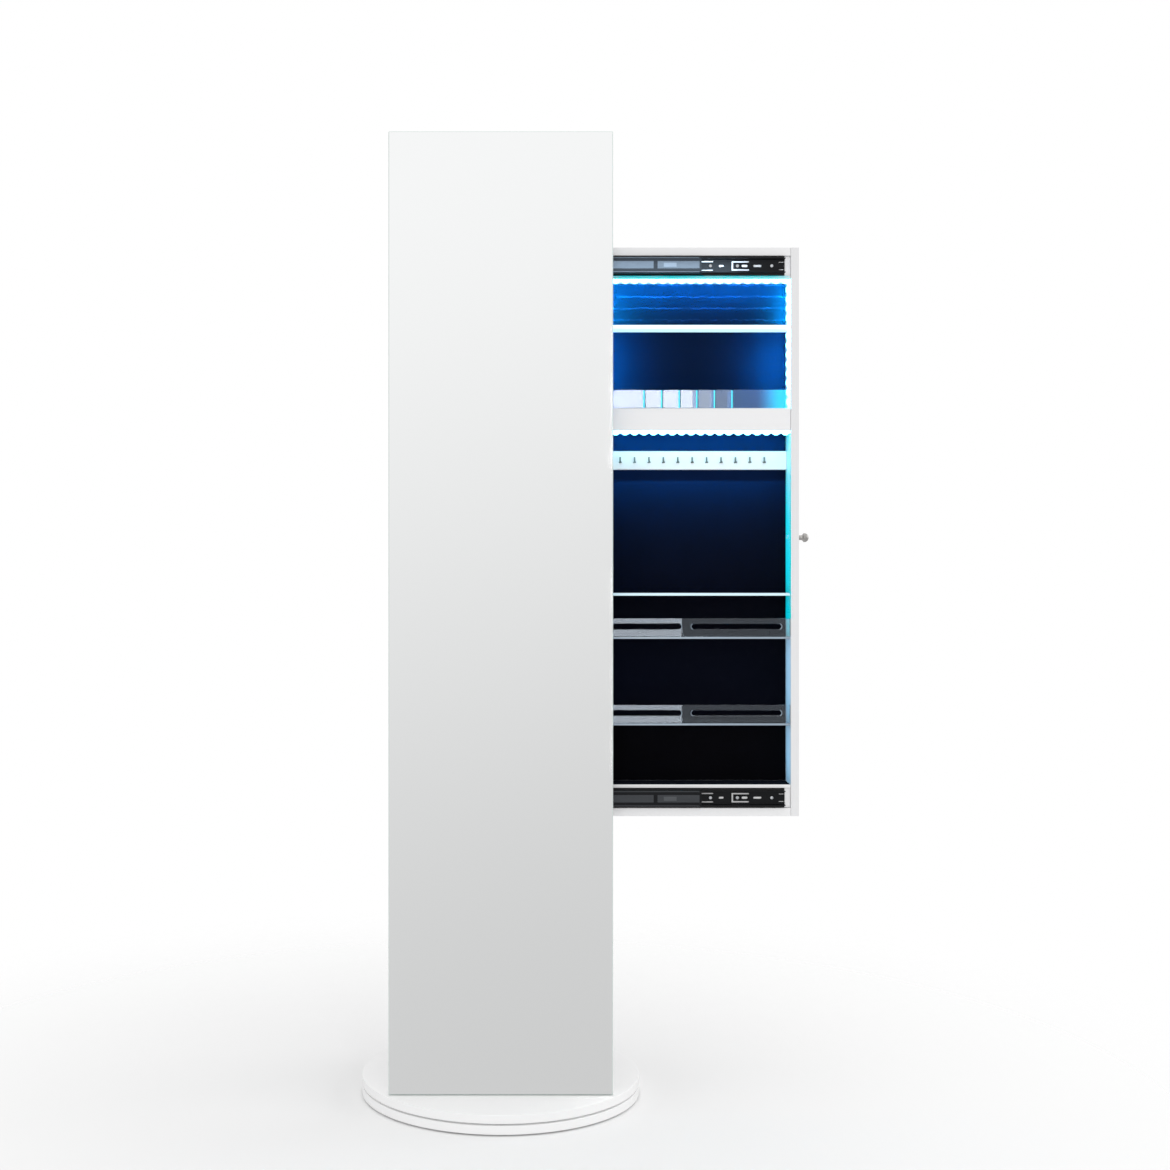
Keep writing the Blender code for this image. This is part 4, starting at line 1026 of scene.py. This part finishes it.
class ARMOIRE_OT_boards(bpy.types.Operator):
    """The mirror glass, and the boards whose edges are eased"""

    bl_idname = "armoire.boards"
    bl_label = "Mirror and boards"

    def execute(self, context):
        edge = context.scene.armoire_sizes.board_edge
        glass = block("mirror_pane", *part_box("mirror_glass"), GLASS_EDGE, 2)
        dress(glass, "silvered_mirror", "mirror_glass", angle=20)
        second_finish(glass, "ground_glass_edge", lambda face: face.normal.y > -FLAT)
        for node in ("upper_insert", "channel_divider_top", "channel_divider_bottom", "ring_tray_floor",
                     "ring_tray_fascia"):
            dress(block(node + "_board", *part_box(node), edge), "melamine_faced_board", node)
        # The bottom bay has velvet on its floor too.
        floor = bpy.data.objects["channel_divider_bottom_board"]
        second_finish(floor, "flocked_velvet", lambda face: face.normal.z > FLAT)
        back = block("drawer_back_board", *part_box("drawer_back_panel"), BACK_EDGE, 2)
        dress(back, "melamine_faced_board", "drawer_back_panel")
        shelf = block("upper_shelf_opal", *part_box("upper_shelf"), edge)
        dress(shelf, "opal_shelf", "upper_shelf")
        self.back_screws()
        self.cam_locks()
        return {"FINISHED"}

    def back_screws(self):
        """Small screws round the thin back of the drawer, which hold it to the walls."""
        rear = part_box("drawer_back_panel")[1].y + 0.0001
        middle = centre("drawer_back_panel").x
        names = [f"back_screw_{number + 1:02d}" for number in range(len(BACK_SCREW_PLACES))]
        places = [(x + middle, rear, z) for x, z in BACK_SCREW_PLACES]
        screw_row(names, BACK_SCREW, BACK_SCREW_LENGTH, (0, -1, 0), places)

    def cam_locks(self):
        """Cam locks in the underside of the plank, with a cross slot and a ring mark."""
        for node in ("cam_lock_left", "cam_lock_right"):
            low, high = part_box(node)
            radius = (high.x - low.x) / 2
            deep = high.z - low.z
            profile = [(0, 0), (radius * 0.62, 0), (radius * 0.66, CAM_MARK), (radius * 0.80, CAM_MARK)]
            profile += [(radius * 0.84, 0), (radius - CAM_EDGE, 0), (radius, CAM_EDGE)]
            cam = turned(node + "_cam", profile + [(radius, deep), (0, deep)], 48)
            half, depth = CAM_SLOT
            for x, y in ((radius * 0.5, half), (half, radius * 0.5)):
                cut(cam, block("slot", (-x, -y, -0.001), (x, y, depth)))
            middle = centre(node)
            put(cam, Matrix.Translation((middle.x, middle.y, low.z)))
            dress(cam, "die_cast_zinc", node)


class ARMOIRE_OT_hangers(bpy.types.Operator):
    """The hanging rail and the four coat pegs"""

    bl_idname = "armoire.hangers"
    bl_label = "Rail and pegs"

    def execute(self, context):
        low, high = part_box("hanging_rail")
        radius = (high.x - low.x) / 2
        length = high.y - low.y
        inner = radius - TUBE_EDGE
        profile = [(0, 0), (inner, 0), (radius, TUBE_EDGE), (radius, length - TUBE_EDGE), (inner, length)]
        rail = turned("hanging_tube", profile + [(0, length)], 64)
        put(rail, facing((0, 1, 0), (0, low.y, centre("hanging_rail").z)))
        dress(rail, "powder_coated_steel", "hanging_rail")
        for number in range(1, 5):
            self.peg(f"coat_peg_{number}")
        return {"FINISHED"}

    def peg(self, node):
        """A turned peg: a straight root that swells to a round-ended grip."""
        low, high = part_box(node)
        length = high.x - low.x
        tip = (high.z - low.z) / 2
        root = tip * PEG_ROOT
        profile = [(0, 0), (root, 0)]
        for step in range(PEG_SWELL_STEPS + 1):
            share = step / PEG_SWELL_STEPS
            eased = (1 - math.cos(math.pi * share)) / 2
            profile.append((root + eased * (tip - root), length * (PEG_SWELL[0] + PEG_SWELL[1] * share)))
        profile += arc((tip - PEG_ROUND_END, length - PEG_ROUND_END), PEG_ROUND_END, 0, 90, 8)
        peg = turned(node + "_turned", profile + [(0, length)], 48)
        side, foot = (1, low.x) if low.x > 0 else (-1, high.x)
        middle = centre(node)
        put(peg, facing((side, 0, 0), (foot, middle.y, middle.z)))
        dress(peg, "lacquered_beech", node, angle=40)


class ARMOIRE_OT_slides(bpy.types.Operator):
    """The two ball-bearing slides: channels, ball cages and punched inner members"""

    bl_idname = "armoire.slides"
    bl_label = "Drawer slides"

    def execute(self, context):
        for place in ("top", "bottom"):
            outer = self.channel(f"slide_outer_{place}", True)
            middle = self.channel(f"slide_middle_{place}", True)
            inner = self.channel(f"slide_inner_{place}", False)
            self.cage(place)
            self.punch(inner, place)
            for member, rail in (("middle", middle), ("inner", inner), ("outer", outer)):
                dress(rail, "electrocoated_steel", f"slide_{member}_{place}")
        return {"FINISHED"}

    def channel(self, node, faces_drawer):
        """A channel of bent sheet: its middle line is drawn, its bends rounded, and it is swept along X."""
        low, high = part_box(node)
        half = SLIDE_STEEL / 2
        web, lip = (low.y + half, high.y) if faces_drawer else (high.y - half, low.y)
        foot, head = low.z + half, high.z - half
        obj = drawn(node + "_rail", [
            (low.x, lip, foot), (low.x, web, foot), (low.x, web, head), (low.x, lip, head)])
        with editing(obj):
            pick(obj, "VERT", lambda vert: abs(vert.co.y - web) < half)
            bpy.ops.mesh.bevel(offset=SLIDE_BEND, segments=4, affect="VERTICES")
            bpy.ops.mesh.select_all(action="SELECT")
            swept((high.x - low.x, 0, 0))
            faces_out()
        wall = obj.modifiers.new("sheet steel", "SOLIDIFY")
        wall.thickness = SLIDE_STEEL
        wall.offset = 0.0
        apply_modifiers(obj)
        with editing(obj):
            faces_out()
        return obj

    def cage(self, place):
        """The stamped ball cage, which shows on the middle member beyond the mirror."""
        node = f"slide_middle_{place}"
        low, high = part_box(node)
        middle = centre(node).z
        left = low.x + CAGE_ENDS[0]
        right = high.x - CAGE_ENDS[1]
        front = low.y - CAGE_SKIN
        runs = [(left, CAGE_GAP[0], middle - CAGE_HALF, middle + CAGE_HALF, front),
                (CAGE_GAP[1], right, middle - CAGE_HALF, middle + CAGE_HALF, front),
                (*CATCH, middle - CATCH_HALF, middle + CATCH_HALF, front - CAGE_EDGE)]
        for lip in (high.z - CAGE_LIP_PLACES[0], low.z + CAGE_LIP_PLACES[1]):
            runs.append((left, right, lip, lip + CAGE_LIP, front))
        cage = joined(f"slide_cage_{place}", [
            block("strip", (start, skin, bottom), (end, low.y, top), CAGE_EDGE, 1)
            for start, end, bottom, top, skin in runs])
        dress(cage, "phosphated_steel", body=BODY[node], slot="steel")
        second_finish(cage, "phosphated_steel_lighter", lambda face: face.center.y < front - CAGE_EDGE / 2)

    def punch(self, inner, place):
        """Cut the inner member's slots and tabs, and put white board and screws behind and in them."""
        node = f"slide_inner_{place}"
        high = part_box(node)[1]
        middle = centre(node).z
        through = (high.y - 0.003, high.y + 0.002)
        for x, z, height in SLIDE_SLOTS:
            cut(inner, slot_cutter(x, middle + z, height, through))
        for x, z, height in SLIDE_BRACKET:
            cut(inner, block("tab", (x[0], through[0], middle + z - height / 2),
                             (x[1], through[1], middle + z + height / 2)))
        mount_low, mount_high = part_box(f"slide_mount_{place}")
        front, rear = (high.y + skin for skin in BACKING_SKIN)
        behind = block("behind", (BACKING_START, front, middle - BACKING_HALF),
                       (high.x - 0.0015, rear, middle + BACKING_HALF))
        beyond = block("beyond", (high.x, front, mount_low.z), (mount_high.x, rear, mount_high.z))
        backing = joined(f"slide_backing_{place}", [behind, beyond])
        dress(backing, "melamine_faced_board", body="drawer", slot="board")
        names = [f"slide_screw_{place}_{number + 1}" for number in range(len(SLIDE_SCREW_PLACES))]
        places = [(x, high.y - SLIDE_SCREW_SINK, middle) for x in SLIDE_SCREW_PLACES]
        screw_row(names, SLIDE_SCREW, SLIDE_SCREW_LENGTH, (0, 1, 0), places)


class ARMOIRE_OT_lining(bpy.types.Operator):
    """The velvet lining"""

    bl_idname = "armoire.lining"
    bl_label = "Velvet lining"

    def execute(self, context):
        lining = block("drawer_velvet", *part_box("drawer_liner"))
        with editing(lining):
            pick(lining, "FACE", lambda face: face.normal.y < -FLAT)
            bpy.ops.mesh.subdivide(number_cuts=63)
        pile = lining.modifiers.new("uneven pile", "DISPLACE")
        pile.texture = bpy.data.textures.new("pile_clouds", "CLOUDS")
        pile.texture.noise_scale = 0.03
        pile.texture_coords = "LOCAL"
        pile.direction = "Y"
        pile.strength = 0.0003
        apply_modifiers(lining)
        dress(lining, "flocked_velvet", "drawer_liner")
        return {"FINISHED"}


class ARMOIRE_OT_tapes(bpy.types.Operator):
    """The LED tapes and the battery box that feeds them"""

    bl_idname = "armoire.tapes"
    bl_label = "LED tapes"

    def execute(self, context):
        sizes = context.scene.armoire_sizes
        for node in ("led_strip_top", "led_strip_middle"):
            dress(self.tape(node + "_tape", *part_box(node), 0, 2, sizes), "led_silicone", node, angle=50)
        low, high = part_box("led_strip_top")
        shelf_low, shelf_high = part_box("upper_shelf")
        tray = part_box("ring_tray_floor")[1].z
        front = low.y + SIDE_TAPE_SETBACK
        rear = high.y + SIDE_TAPE_SETBACK
        for place, bottom, top in (("upper", shelf_high.z + TAPE_GAP, low.z - TAPE_GAP),
                                   ("lower", tray + TAPE_GAP, shelf_low.z - TAPE_GAP)):
            for side, start, end, outwards in (("left", low.x, low.x + SIDE_TAPE_DEPTH, 1),
                                               ("right", high.x - SIDE_TAPE_DEPTH, high.x, -1)):
                obj = self.tape(f"led_side_{side}_{place}", Vector((start, front, bottom)),
                                Vector((end, rear, top)), 2, 0, sizes, outwards)
                dress(obj, "led_silicone", body="drawer", slot="led", angle=50)
        self.battery()
        return {"FINISHED"}

    def tape(self, name, low, high, along, proud, sizes, outwards=-1):
        """A tape with a row of domes; along and proud are the axes of the row and of the domes' height."""
        count = int((high[along] - low[along]) / sizes.led_pitch)
        first = (low + high) / 2
        first[along] -= sizes.led_pitch * (count - 1) / 2
        first[proud] = low[proud] if outwards < 0 else high[proud]
        radii = [LED_ACROSS, LED_ACROSS, LED_ACROSS]
        radii[along] = sizes.led_pitch * LED_ALONG
        radii[proud] = sizes.led_dome
        clear_selection()
        bpy.ops.mesh.primitive_uv_sphere_add(segments=16, ring_count=8, radius=1, location=first, scale=radii)
        dome = put(named("dome"))
        row = dome.modifiers.new("row of lights", "ARRAY")
        row.count = count
        row.use_relative_offset = False
        row.use_constant_offset = True
        step = [0, 0, 0]
        step[along] = sizes.led_pitch
        row.constant_offset_displace = step
        apply_modifiers(dome)
        return joined(name, [block("tape", low, high, TAPE_EDGE, 2), dome])

    def battery(self):
        """A battery box with a lid and a slide switch."""
        low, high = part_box("led_battery_box")
        box = block("led_battery_case", low, high, 0.0015)
        lid = block("lid", (low.x + 0.003, low.y - 0.0006, low.z + 0.004),
                    (high.x - 0.003, low.y + 0.001, high.z - 0.016), 0.0005, 2)
        switch = block("switch", (low.x + 0.013, low.y - 0.0018, high.z - 0.011),
                       (low.x + 0.020, low.y + 0.001, high.z - 0.007), 0.0004, 2)
        dress(joined("led_battery_case", [box, lid, switch]), "moulded_abs", "led_battery_box")


class ARMOIRE_OT_clear_pieces(bpy.types.Operator):
    """The ring tray's comb, the clear shelf and the two slotted racks"""

    bl_idname = "armoire.clear_pieces"
    bl_label = "Acrylic pieces"

    def execute(self, context):
        edge = context.scene.armoire_sizes.acrylic_edge
        self.comb(edge)
        shelf = block("clear_shelf", *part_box("acrylic_shelf"), edge, 2)
        dress(shelf, "cast_acrylic", "acrylic_shelf")
        second_finish(shelf, "acrylic_lit_edge", looks_front)
        for place in ("upper", "lower"):
            floor = block(f"rack_floor_{place}", *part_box(f"cosmetic_shelf_{place}"), edge, 2)
            dress(floor, "cast_acrylic", f"cosmetic_shelf_{place}")
            # The front edge gets the painted highlight.
            second_finish(floor, "acrylic_edge_painted_highlight", looks_front)
            self.guard(place, edge)
        return {"FINISHED"}

    def comb(self, edge):
        """A clear front plate and six dividers behind it, each with a strip of painted shade beside it."""
        low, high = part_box("ring_divider_comb")
        back = low.y + COMB_PLATE
        top = high.z - COMB_DROP
        first = centre("ring_divider_comb").x + COMB_FIRST
        places = [first + number * COMB_PITCH for number in range(COMB_COUNT)]
        plate = block("plate", low, (high.x, back, high.z), edge, 2)
        pieces = [plate]
        for x in places:
            cut(plate, block("joint", (x + COMB_JOINT[0], low.y - 0.001, low.z - 0.001),
                             (x + COMB_JOINT[1], back + 0.001, high.z + 0.001)))
            pieces.append(block("divider", (x - COMB_HALF, low.y, low.z), (x + COMB_HALF, high.y, top),
                                edge, 2))
            # A strip of painted shade beside each divider.
            pieces.append(block("cement", (x + COMB_SHADE_STRIP[0], low.y, low.z), (x + COMB_SHADE_STRIP[1], back, top),
                                0.0002, 1))
        comb = joined("ring_comb_clear", pieces)
        dress(comb, "edge_lit_acrylic", "ring_divider_comb")
        # The dividers' front edges get the painted cyan glow.
        second_finish(comb, "acrylic_painted_glow_edge", lambda face: looks_front(face) and any(
            abs(face.center.x - x) < COMB_SHADE_STRIP[0] for x in places))
        second_finish(comb, "acrylic_painted_shade", lambda face: looks_front(face) and any(
            COMB_SHADE_STRIP[0] < face.center.x - x < COMB_SHADE_STRIP[1] for x in places))

    def guard(self, place, edge):
        """A guard rail with two long slots for earrings, whose mouths flare to the front."""
        node = f"guard_rail_{place}"
        low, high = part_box(node)
        guard = block(f"rack_guard_{place}", low, high, edge, 2)
        middle = centre(node).x
        through = (low.y - 0.002, high.y + 0.002)
        height = low.z + GUARD_SLOT_MIDDLE
        end = (high.x - low.x) / 2 - GUARD_END
        for side in (-1, 1):
            limits = sorted((middle + side * GUARD_BRIDGE_HALF, middle + side * end))
            mouth = slot_cutter((limits[0] - GUARD_FLARE, limits[1] + GUARD_FLARE), height,
                                GUARD_SLOT_HEIGHT + 2 * GUARD_FLARE, (through[0], low.y + GUARD_FLARE))
            with editing(mouth):
                pick(mouth, "EDGE", lambda line: all(vert.co.y > low.y for vert in line.verts))
                bpy.ops.mesh.bevel(offset=GUARD_FLARE * 0.98, segments=1)
            cut(guard, mouth, slot_cutter(limits, height, GUARD_SLOT_HEIGHT, through))
        dress(guard, "cast_acrylic", node, angle=30)
        # The flare of the slots' round ends gets the painted highlight.
        second_finish(guard, "acrylic_edge_painted_highlight", lambda face: abs(face.normal.x) > 0.2 and (
            -0.9 < face.normal.y < -0.3))


class ARMOIRE_OT_necklace_bar(bpy.types.Operator):
    """The necklace bar and its row of wire hooks"""

    bl_idname = "armoire.necklace_bar"
    bl_label = "Necklace bar"

    def execute(self, context):
        sizes = context.scene.armoire_sizes
        low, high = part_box("hook_bar")
        front = high.y - BAR_DEPTH
        bar = block("necklace_bar", (low.x, front, low.z), high, sizes.board_edge)
        dress(bar, "melamine_faced_board", "hook_bar")
        middle = centre("hook_bar")
        turn = Matrix.Rotation(math.radians(HOOK_TURN), 4, "Z")
        first = self.hook(sizes.hook_wire / 2)
        for number in range(HOOK_COUNT):
            x = middle.x + (number - (HOOK_COUNT - 1) / 2) * HOOK_PITCH
            move = Matrix.Translation((x, front, middle.z - HOOK_DROP)) @ turn
            hook = copied(first, f"necklace_hook_{number + 1:02d}", move)
            dress(hook, "drawn_nickel_wire", body="drawer", slot="nickel", angle=60)
        bpy.data.objects.remove(first, do_unlink=True)
        return {"FINISHED"}

    def hook(self, radius):
        """A wire that leaves the bar at the origin, bends up and ends in a rounded tip."""
        clear_selection()
        bpy.ops.mesh.primitive_circle_add(
            vertices=16, radius=radius, fill_type="NGON", location=(0, HOOK_ROOT, radius),
            rotation=(math.pi / 2, 0, 0))
        obj = put(named("hook"))
        start = radius + HOOK_BEND - HOOK_REACH
        with editing(obj):
            swept((0, start - HOOK_ROOT, 0))
            bpy.ops.mesh.spin(
                steps=8, angle=-math.pi / 2, center=(0, start, radius + HOOK_BEND), axis=(1, 0, 0))
            swept((0, 0, HOOK_TALL - radius - HOOK_BEND))
            for rise, share in HOOK_TIP:
                swept((0, 0, rise))
                bpy.ops.transform.resize(value=(share, share, 1))
            close_up()
        return obj


class ARMOIRE_OT_knob(bpy.types.Operator):
    """The drawer's mushroom knob and its screw"""

    bl_idname = "armoire.knob"
    bl_label = "Knob"

    def execute(self, context):
        low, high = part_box("drawer_knob")
        radius = (high.z - low.z) / 2
        head = high.x - low.x - radius
        middle = centre("drawer_knob")
        profile = list(KNOB_STEM)
        for degrees in (-38, -25, -12):
            turn = math.radians(degrees)
            profile.append((radius * math.cos(turn), head + KNOB_UNDERCUT * math.sin(turn)))
        inner = radius - KNOB_GROOVE
        profile += [(radius, head), (inner, head + KNOB_GROOVE), (inner, head + 2 * KNOB_GROOVE)]
        profile += arc((0, head), radius, 8, 90, 14)
        knob = turned("drawer_knob_turned", profile, 64, facing((1, 0, 0), (low.x, middle.y, middle.z)))
        dress(knob, "satin_nickel", "drawer_knob", angle=40)
        low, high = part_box("knob_screw")
        height = WOOD_SCREW[1]
        fixing = screw("knob_fixing_screw", WOOD_SCREW, high.x - low.x - height)
        put(fixing, facing((1, 0, 0), (low.x + height, middle.y, middle.z)))
        # Its head is painted like the wall that it is in.
        dress(fixing, "powder_coated_steel", "knob_screw")
        return {"FINISHED"}


class ARMOIRE_OT_glow(bpy.types.Operator):
    """The light that the tapes throw on the lining, the end wall, the necklace bar and the top slide"""

    bl_idname = "armoire.glow"
    bl_label = "Light from the tapes"

    def execute(self, context):
        low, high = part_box("led_strip_top")
        front = low.y + 0.004
        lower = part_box("led_strip_middle")[0].z
        clear = context.scene.armoire_sizes.led_dome + 0.001
        self.lining(context.scene.armoire_colours.glow, low, high, front, lower, clear)
        middle = (low.x + high.x) / 2
        across = high.x - low.x
        made = bpy.data.objects
        bar = self.receivers("lit_bar", made["necklace_bar"])
        self.lamp("bar_glow", (middle, front, lower), (0, 0.8, -1), (across, STRIP_LAMP), 0.12, BAR_TINT, bar)
        rails = self.receivers("lit_slide", *(made[name] for name in (
            "slide_cage_top", "slide_middle_top_rail", "slide_inner_top_rail", "slide_backing_top")))
        place = (middle - 0.035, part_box("slide_inner_top")[0].y - 0.03, centre("slide_inner_top").z)
        self.lamp("slide_glow", place, (0, 1, 0), (across - 0.07, 0.02), 0.15, SLIDE_TINT, rails)
        # The LEDs' cyan lies outside the screen's range, with red below zero, so one lamp takes red away.
        end_wall = (frame["nodes"]["drawer_end_wall"], made["knob_fixing_screw"])
        wall = self.receivers("lit_end_wall", *end_wall)
        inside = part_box("drawer_end_wall")[0].x - 0.02
        deep = (low.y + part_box("drawer_liner")[0].y) / 2
        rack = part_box("cosmetic_shelf_upper")[1].z
        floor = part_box("channel_divider_bottom")[1].z
        for name, bottom, top, power, tint in (("cyan", rack, lower, 0.03, (0.0, 0.78, 1.0)),
                                               ("red", rack, lower, -0.82, (1.0, 0.0, 0.0)),
                                               ("blue", floor, rack, 0.025, (0.05, 0.5, 0.9))):
            lamp = self.lamp(f"end_wall_{name}", (inside, deep, (bottom + top) / 2), (1, 0, 0),
                             (0.03, top - bottom), power, tint, wall)
            lamp.data.cycles.max_bounces = 0
        edge = self.receivers("lit_divider", made["channel_divider_top_board"])
        place = (middle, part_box("channel_divider_top")[0].y - 0.02, centre("channel_divider_top").z)
        lamp = self.lamp("divider_red", place, (0, 1, 0), (across, STRIP_LAMP), -0.022, (1.0, 0.12, 0.0),
                         edge)
        lamp.data.cycles.max_bounces = 0
        # The front softboxes are for the acrylic's reflections, and the end wall is bright without them.
        plain = self.spared("not_lit_from_front", *end_wall)
        for name, *_ in SOFTBOXES:
            if name.startswith("front"):
                made[name].light_linking.receiver_collection = plain
        # The rear view shows the slit of the closed drawer dark, so no tape lights the mirror's board.
        unlit = self.spared("not_lit_by_tapes", frame["nodes"]["mirror_board"])
        glowing = {"led_silicone", "opal_shelf", "acrylic_lit_edge", "acrylic_painted_glow_edge", "edge_lit_acrylic"}
        for obj in made:
            if glowing.intersection(obj.material_slots.keys()):
                obj.light_linking.receiver_collection = unlit
        return {"FINISHED"}

    def lining(self, colour, low, high, front, lower, clear):
        """Lamps along the tapes and in the compartments, which light the velvet."""
        velvet = self.receivers("lit_lining", bpy.data.objects["drawer_velvet"])
        middle = (low.x + high.x) / 2
        across = high.x - low.x
        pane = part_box("acrylic_shelf")[0].z
        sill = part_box("cosmetic_shelf_lower")[1].z
        for name, z, direction, tall, power in (
                ("upper_tape", low.z - clear, (0, 1, 0.5), STRIP_LAMP, 9.5),
                ("middle_tape", lower - clear, (0, 1, -1), STRIP_LAMP, 4.2),
                ("under_bar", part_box("hook_bar")[0].z - 0.01, (0, 1, 0), 0.02, 0.6),
                ("under_pane", (pane + sill) / 2, (0, 1, 0), pane - sill, 0.15)):
            self.lamp(f"{name}_glow", (middle, front, z), direction, (across, tall), power, colour, velvet)
        shelf_low, shelf_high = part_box("upper_shelf")
        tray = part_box("ring_divider_comb")[1].z
        inset = clear + 0.003
        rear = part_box("drawer_liner")[0].y - 0.016
        for name, x, y, direction, bottom, top, power, tint in (
                ("left_upper", low.x + inset, front, (0.5, 1, 0), shelf_high.z, low.z, 8.0, NEAR_TINT),
                ("left_tray", low.x + inset, front, (0.5, 1, 0), tray, shelf_low.z, 6.2, colour),
                ("right_upper", high.x - 0.002, rear, (-0.3, 1, 0), shelf_high.z, low.z, 1.8, NEAR_TINT),
                ("right_tray", high.x - inset, front, (-0.5, 1, 0), tray, shelf_low.z, 2.9, colour)):
            self.lamp(f"{name}_glow", (x, y, (bottom + top) / 2), direction, (STRIP_LAMP, top - bottom),
                      power, tint, velvet)

    def receivers(self, name, *objects):
        """A collection of the objects that a lamp is to light."""
        made = bpy.data.collections.new(name)
        for obj in objects:
            made.objects.link(obj)
        return made

    def spared(self, name, *objects):
        """A collection that keeps a lamp from some objects and lets it light all else."""
        made = self.receivers(name, *objects)
        for member in made.collection_objects:
            member.light_linking.link_state = "EXCLUDE"
        return made

    def lamp(self, name, place, direction, size, power, colour, lit):
        """A lamp that only lights its receivers and moves with the drawer."""
        lamp = area_lamp(name, place, direction, size, power, colour)
        lamp.light_linking.receiver_collection = lit
        lamp.parent = frame["bodies"]["drawer"]
        return lamp


class ARMOIRE_PT_panel(bpy.types.Panel):
    """The armoire's pieces and settings"""

    bl_idname = "ARMOIRE_PT_panel"
    bl_label = "Jewelry Armoire"
    bl_space_type = "VIEW_3D"
    bl_region_type = "UI"
    bl_category = "Armoire"

    def draw(self, context):
        for operator in OPERATORS:
            self.layout.operator(operator.bl_idname)
        for group in (context.scene.armoire_sizes, context.scene.armoire_colours):
            column = self.layout.column()
            for name in group.__annotations__:
                column.prop(group, name)


# The finishes come first, and the tapes' light last, because it names pieces that the others make.
OPERATORS = (
    ARMOIRE_OT_finishes, ARMOIRE_OT_stage, ARMOIRE_OT_strap, ARMOIRE_OT_base, ARMOIRE_OT_boards,
    ARMOIRE_OT_hangers, ARMOIRE_OT_slides, ARMOIRE_OT_lining, ARMOIRE_OT_tapes, ARMOIRE_OT_clear_pieces,
    ARMOIRE_OT_necklace_bar, ARMOIRE_OT_knob, ARMOIRE_OT_glow,
)
CLASSES = (ArmoireSizes, ArmoireColours, *OPERATORS, ARMOIRE_PT_panel)


def register():
    for made in CLASSES:
        bpy.utils.register_class(made)
    bpy.types.Scene.armoire_sizes = bpy.props.PointerProperty(type=ArmoireSizes)
    bpy.types.Scene.armoire_colours = bpy.props.PointerProperty(type=ArmoireColours)


def unregister():
    del bpy.types.Scene.armoire_colours
    del bpy.types.Scene.armoire_sizes
    for made in reversed(CLASSES):
        bpy.utils.unregister_class(made)


def main():
    register()
    for operator in OPERATORS:
        group, name = operator.bl_idname.split(".")
        getattr(getattr(bpy.ops, group), name)()


if __name__ == "__main__":
    main()
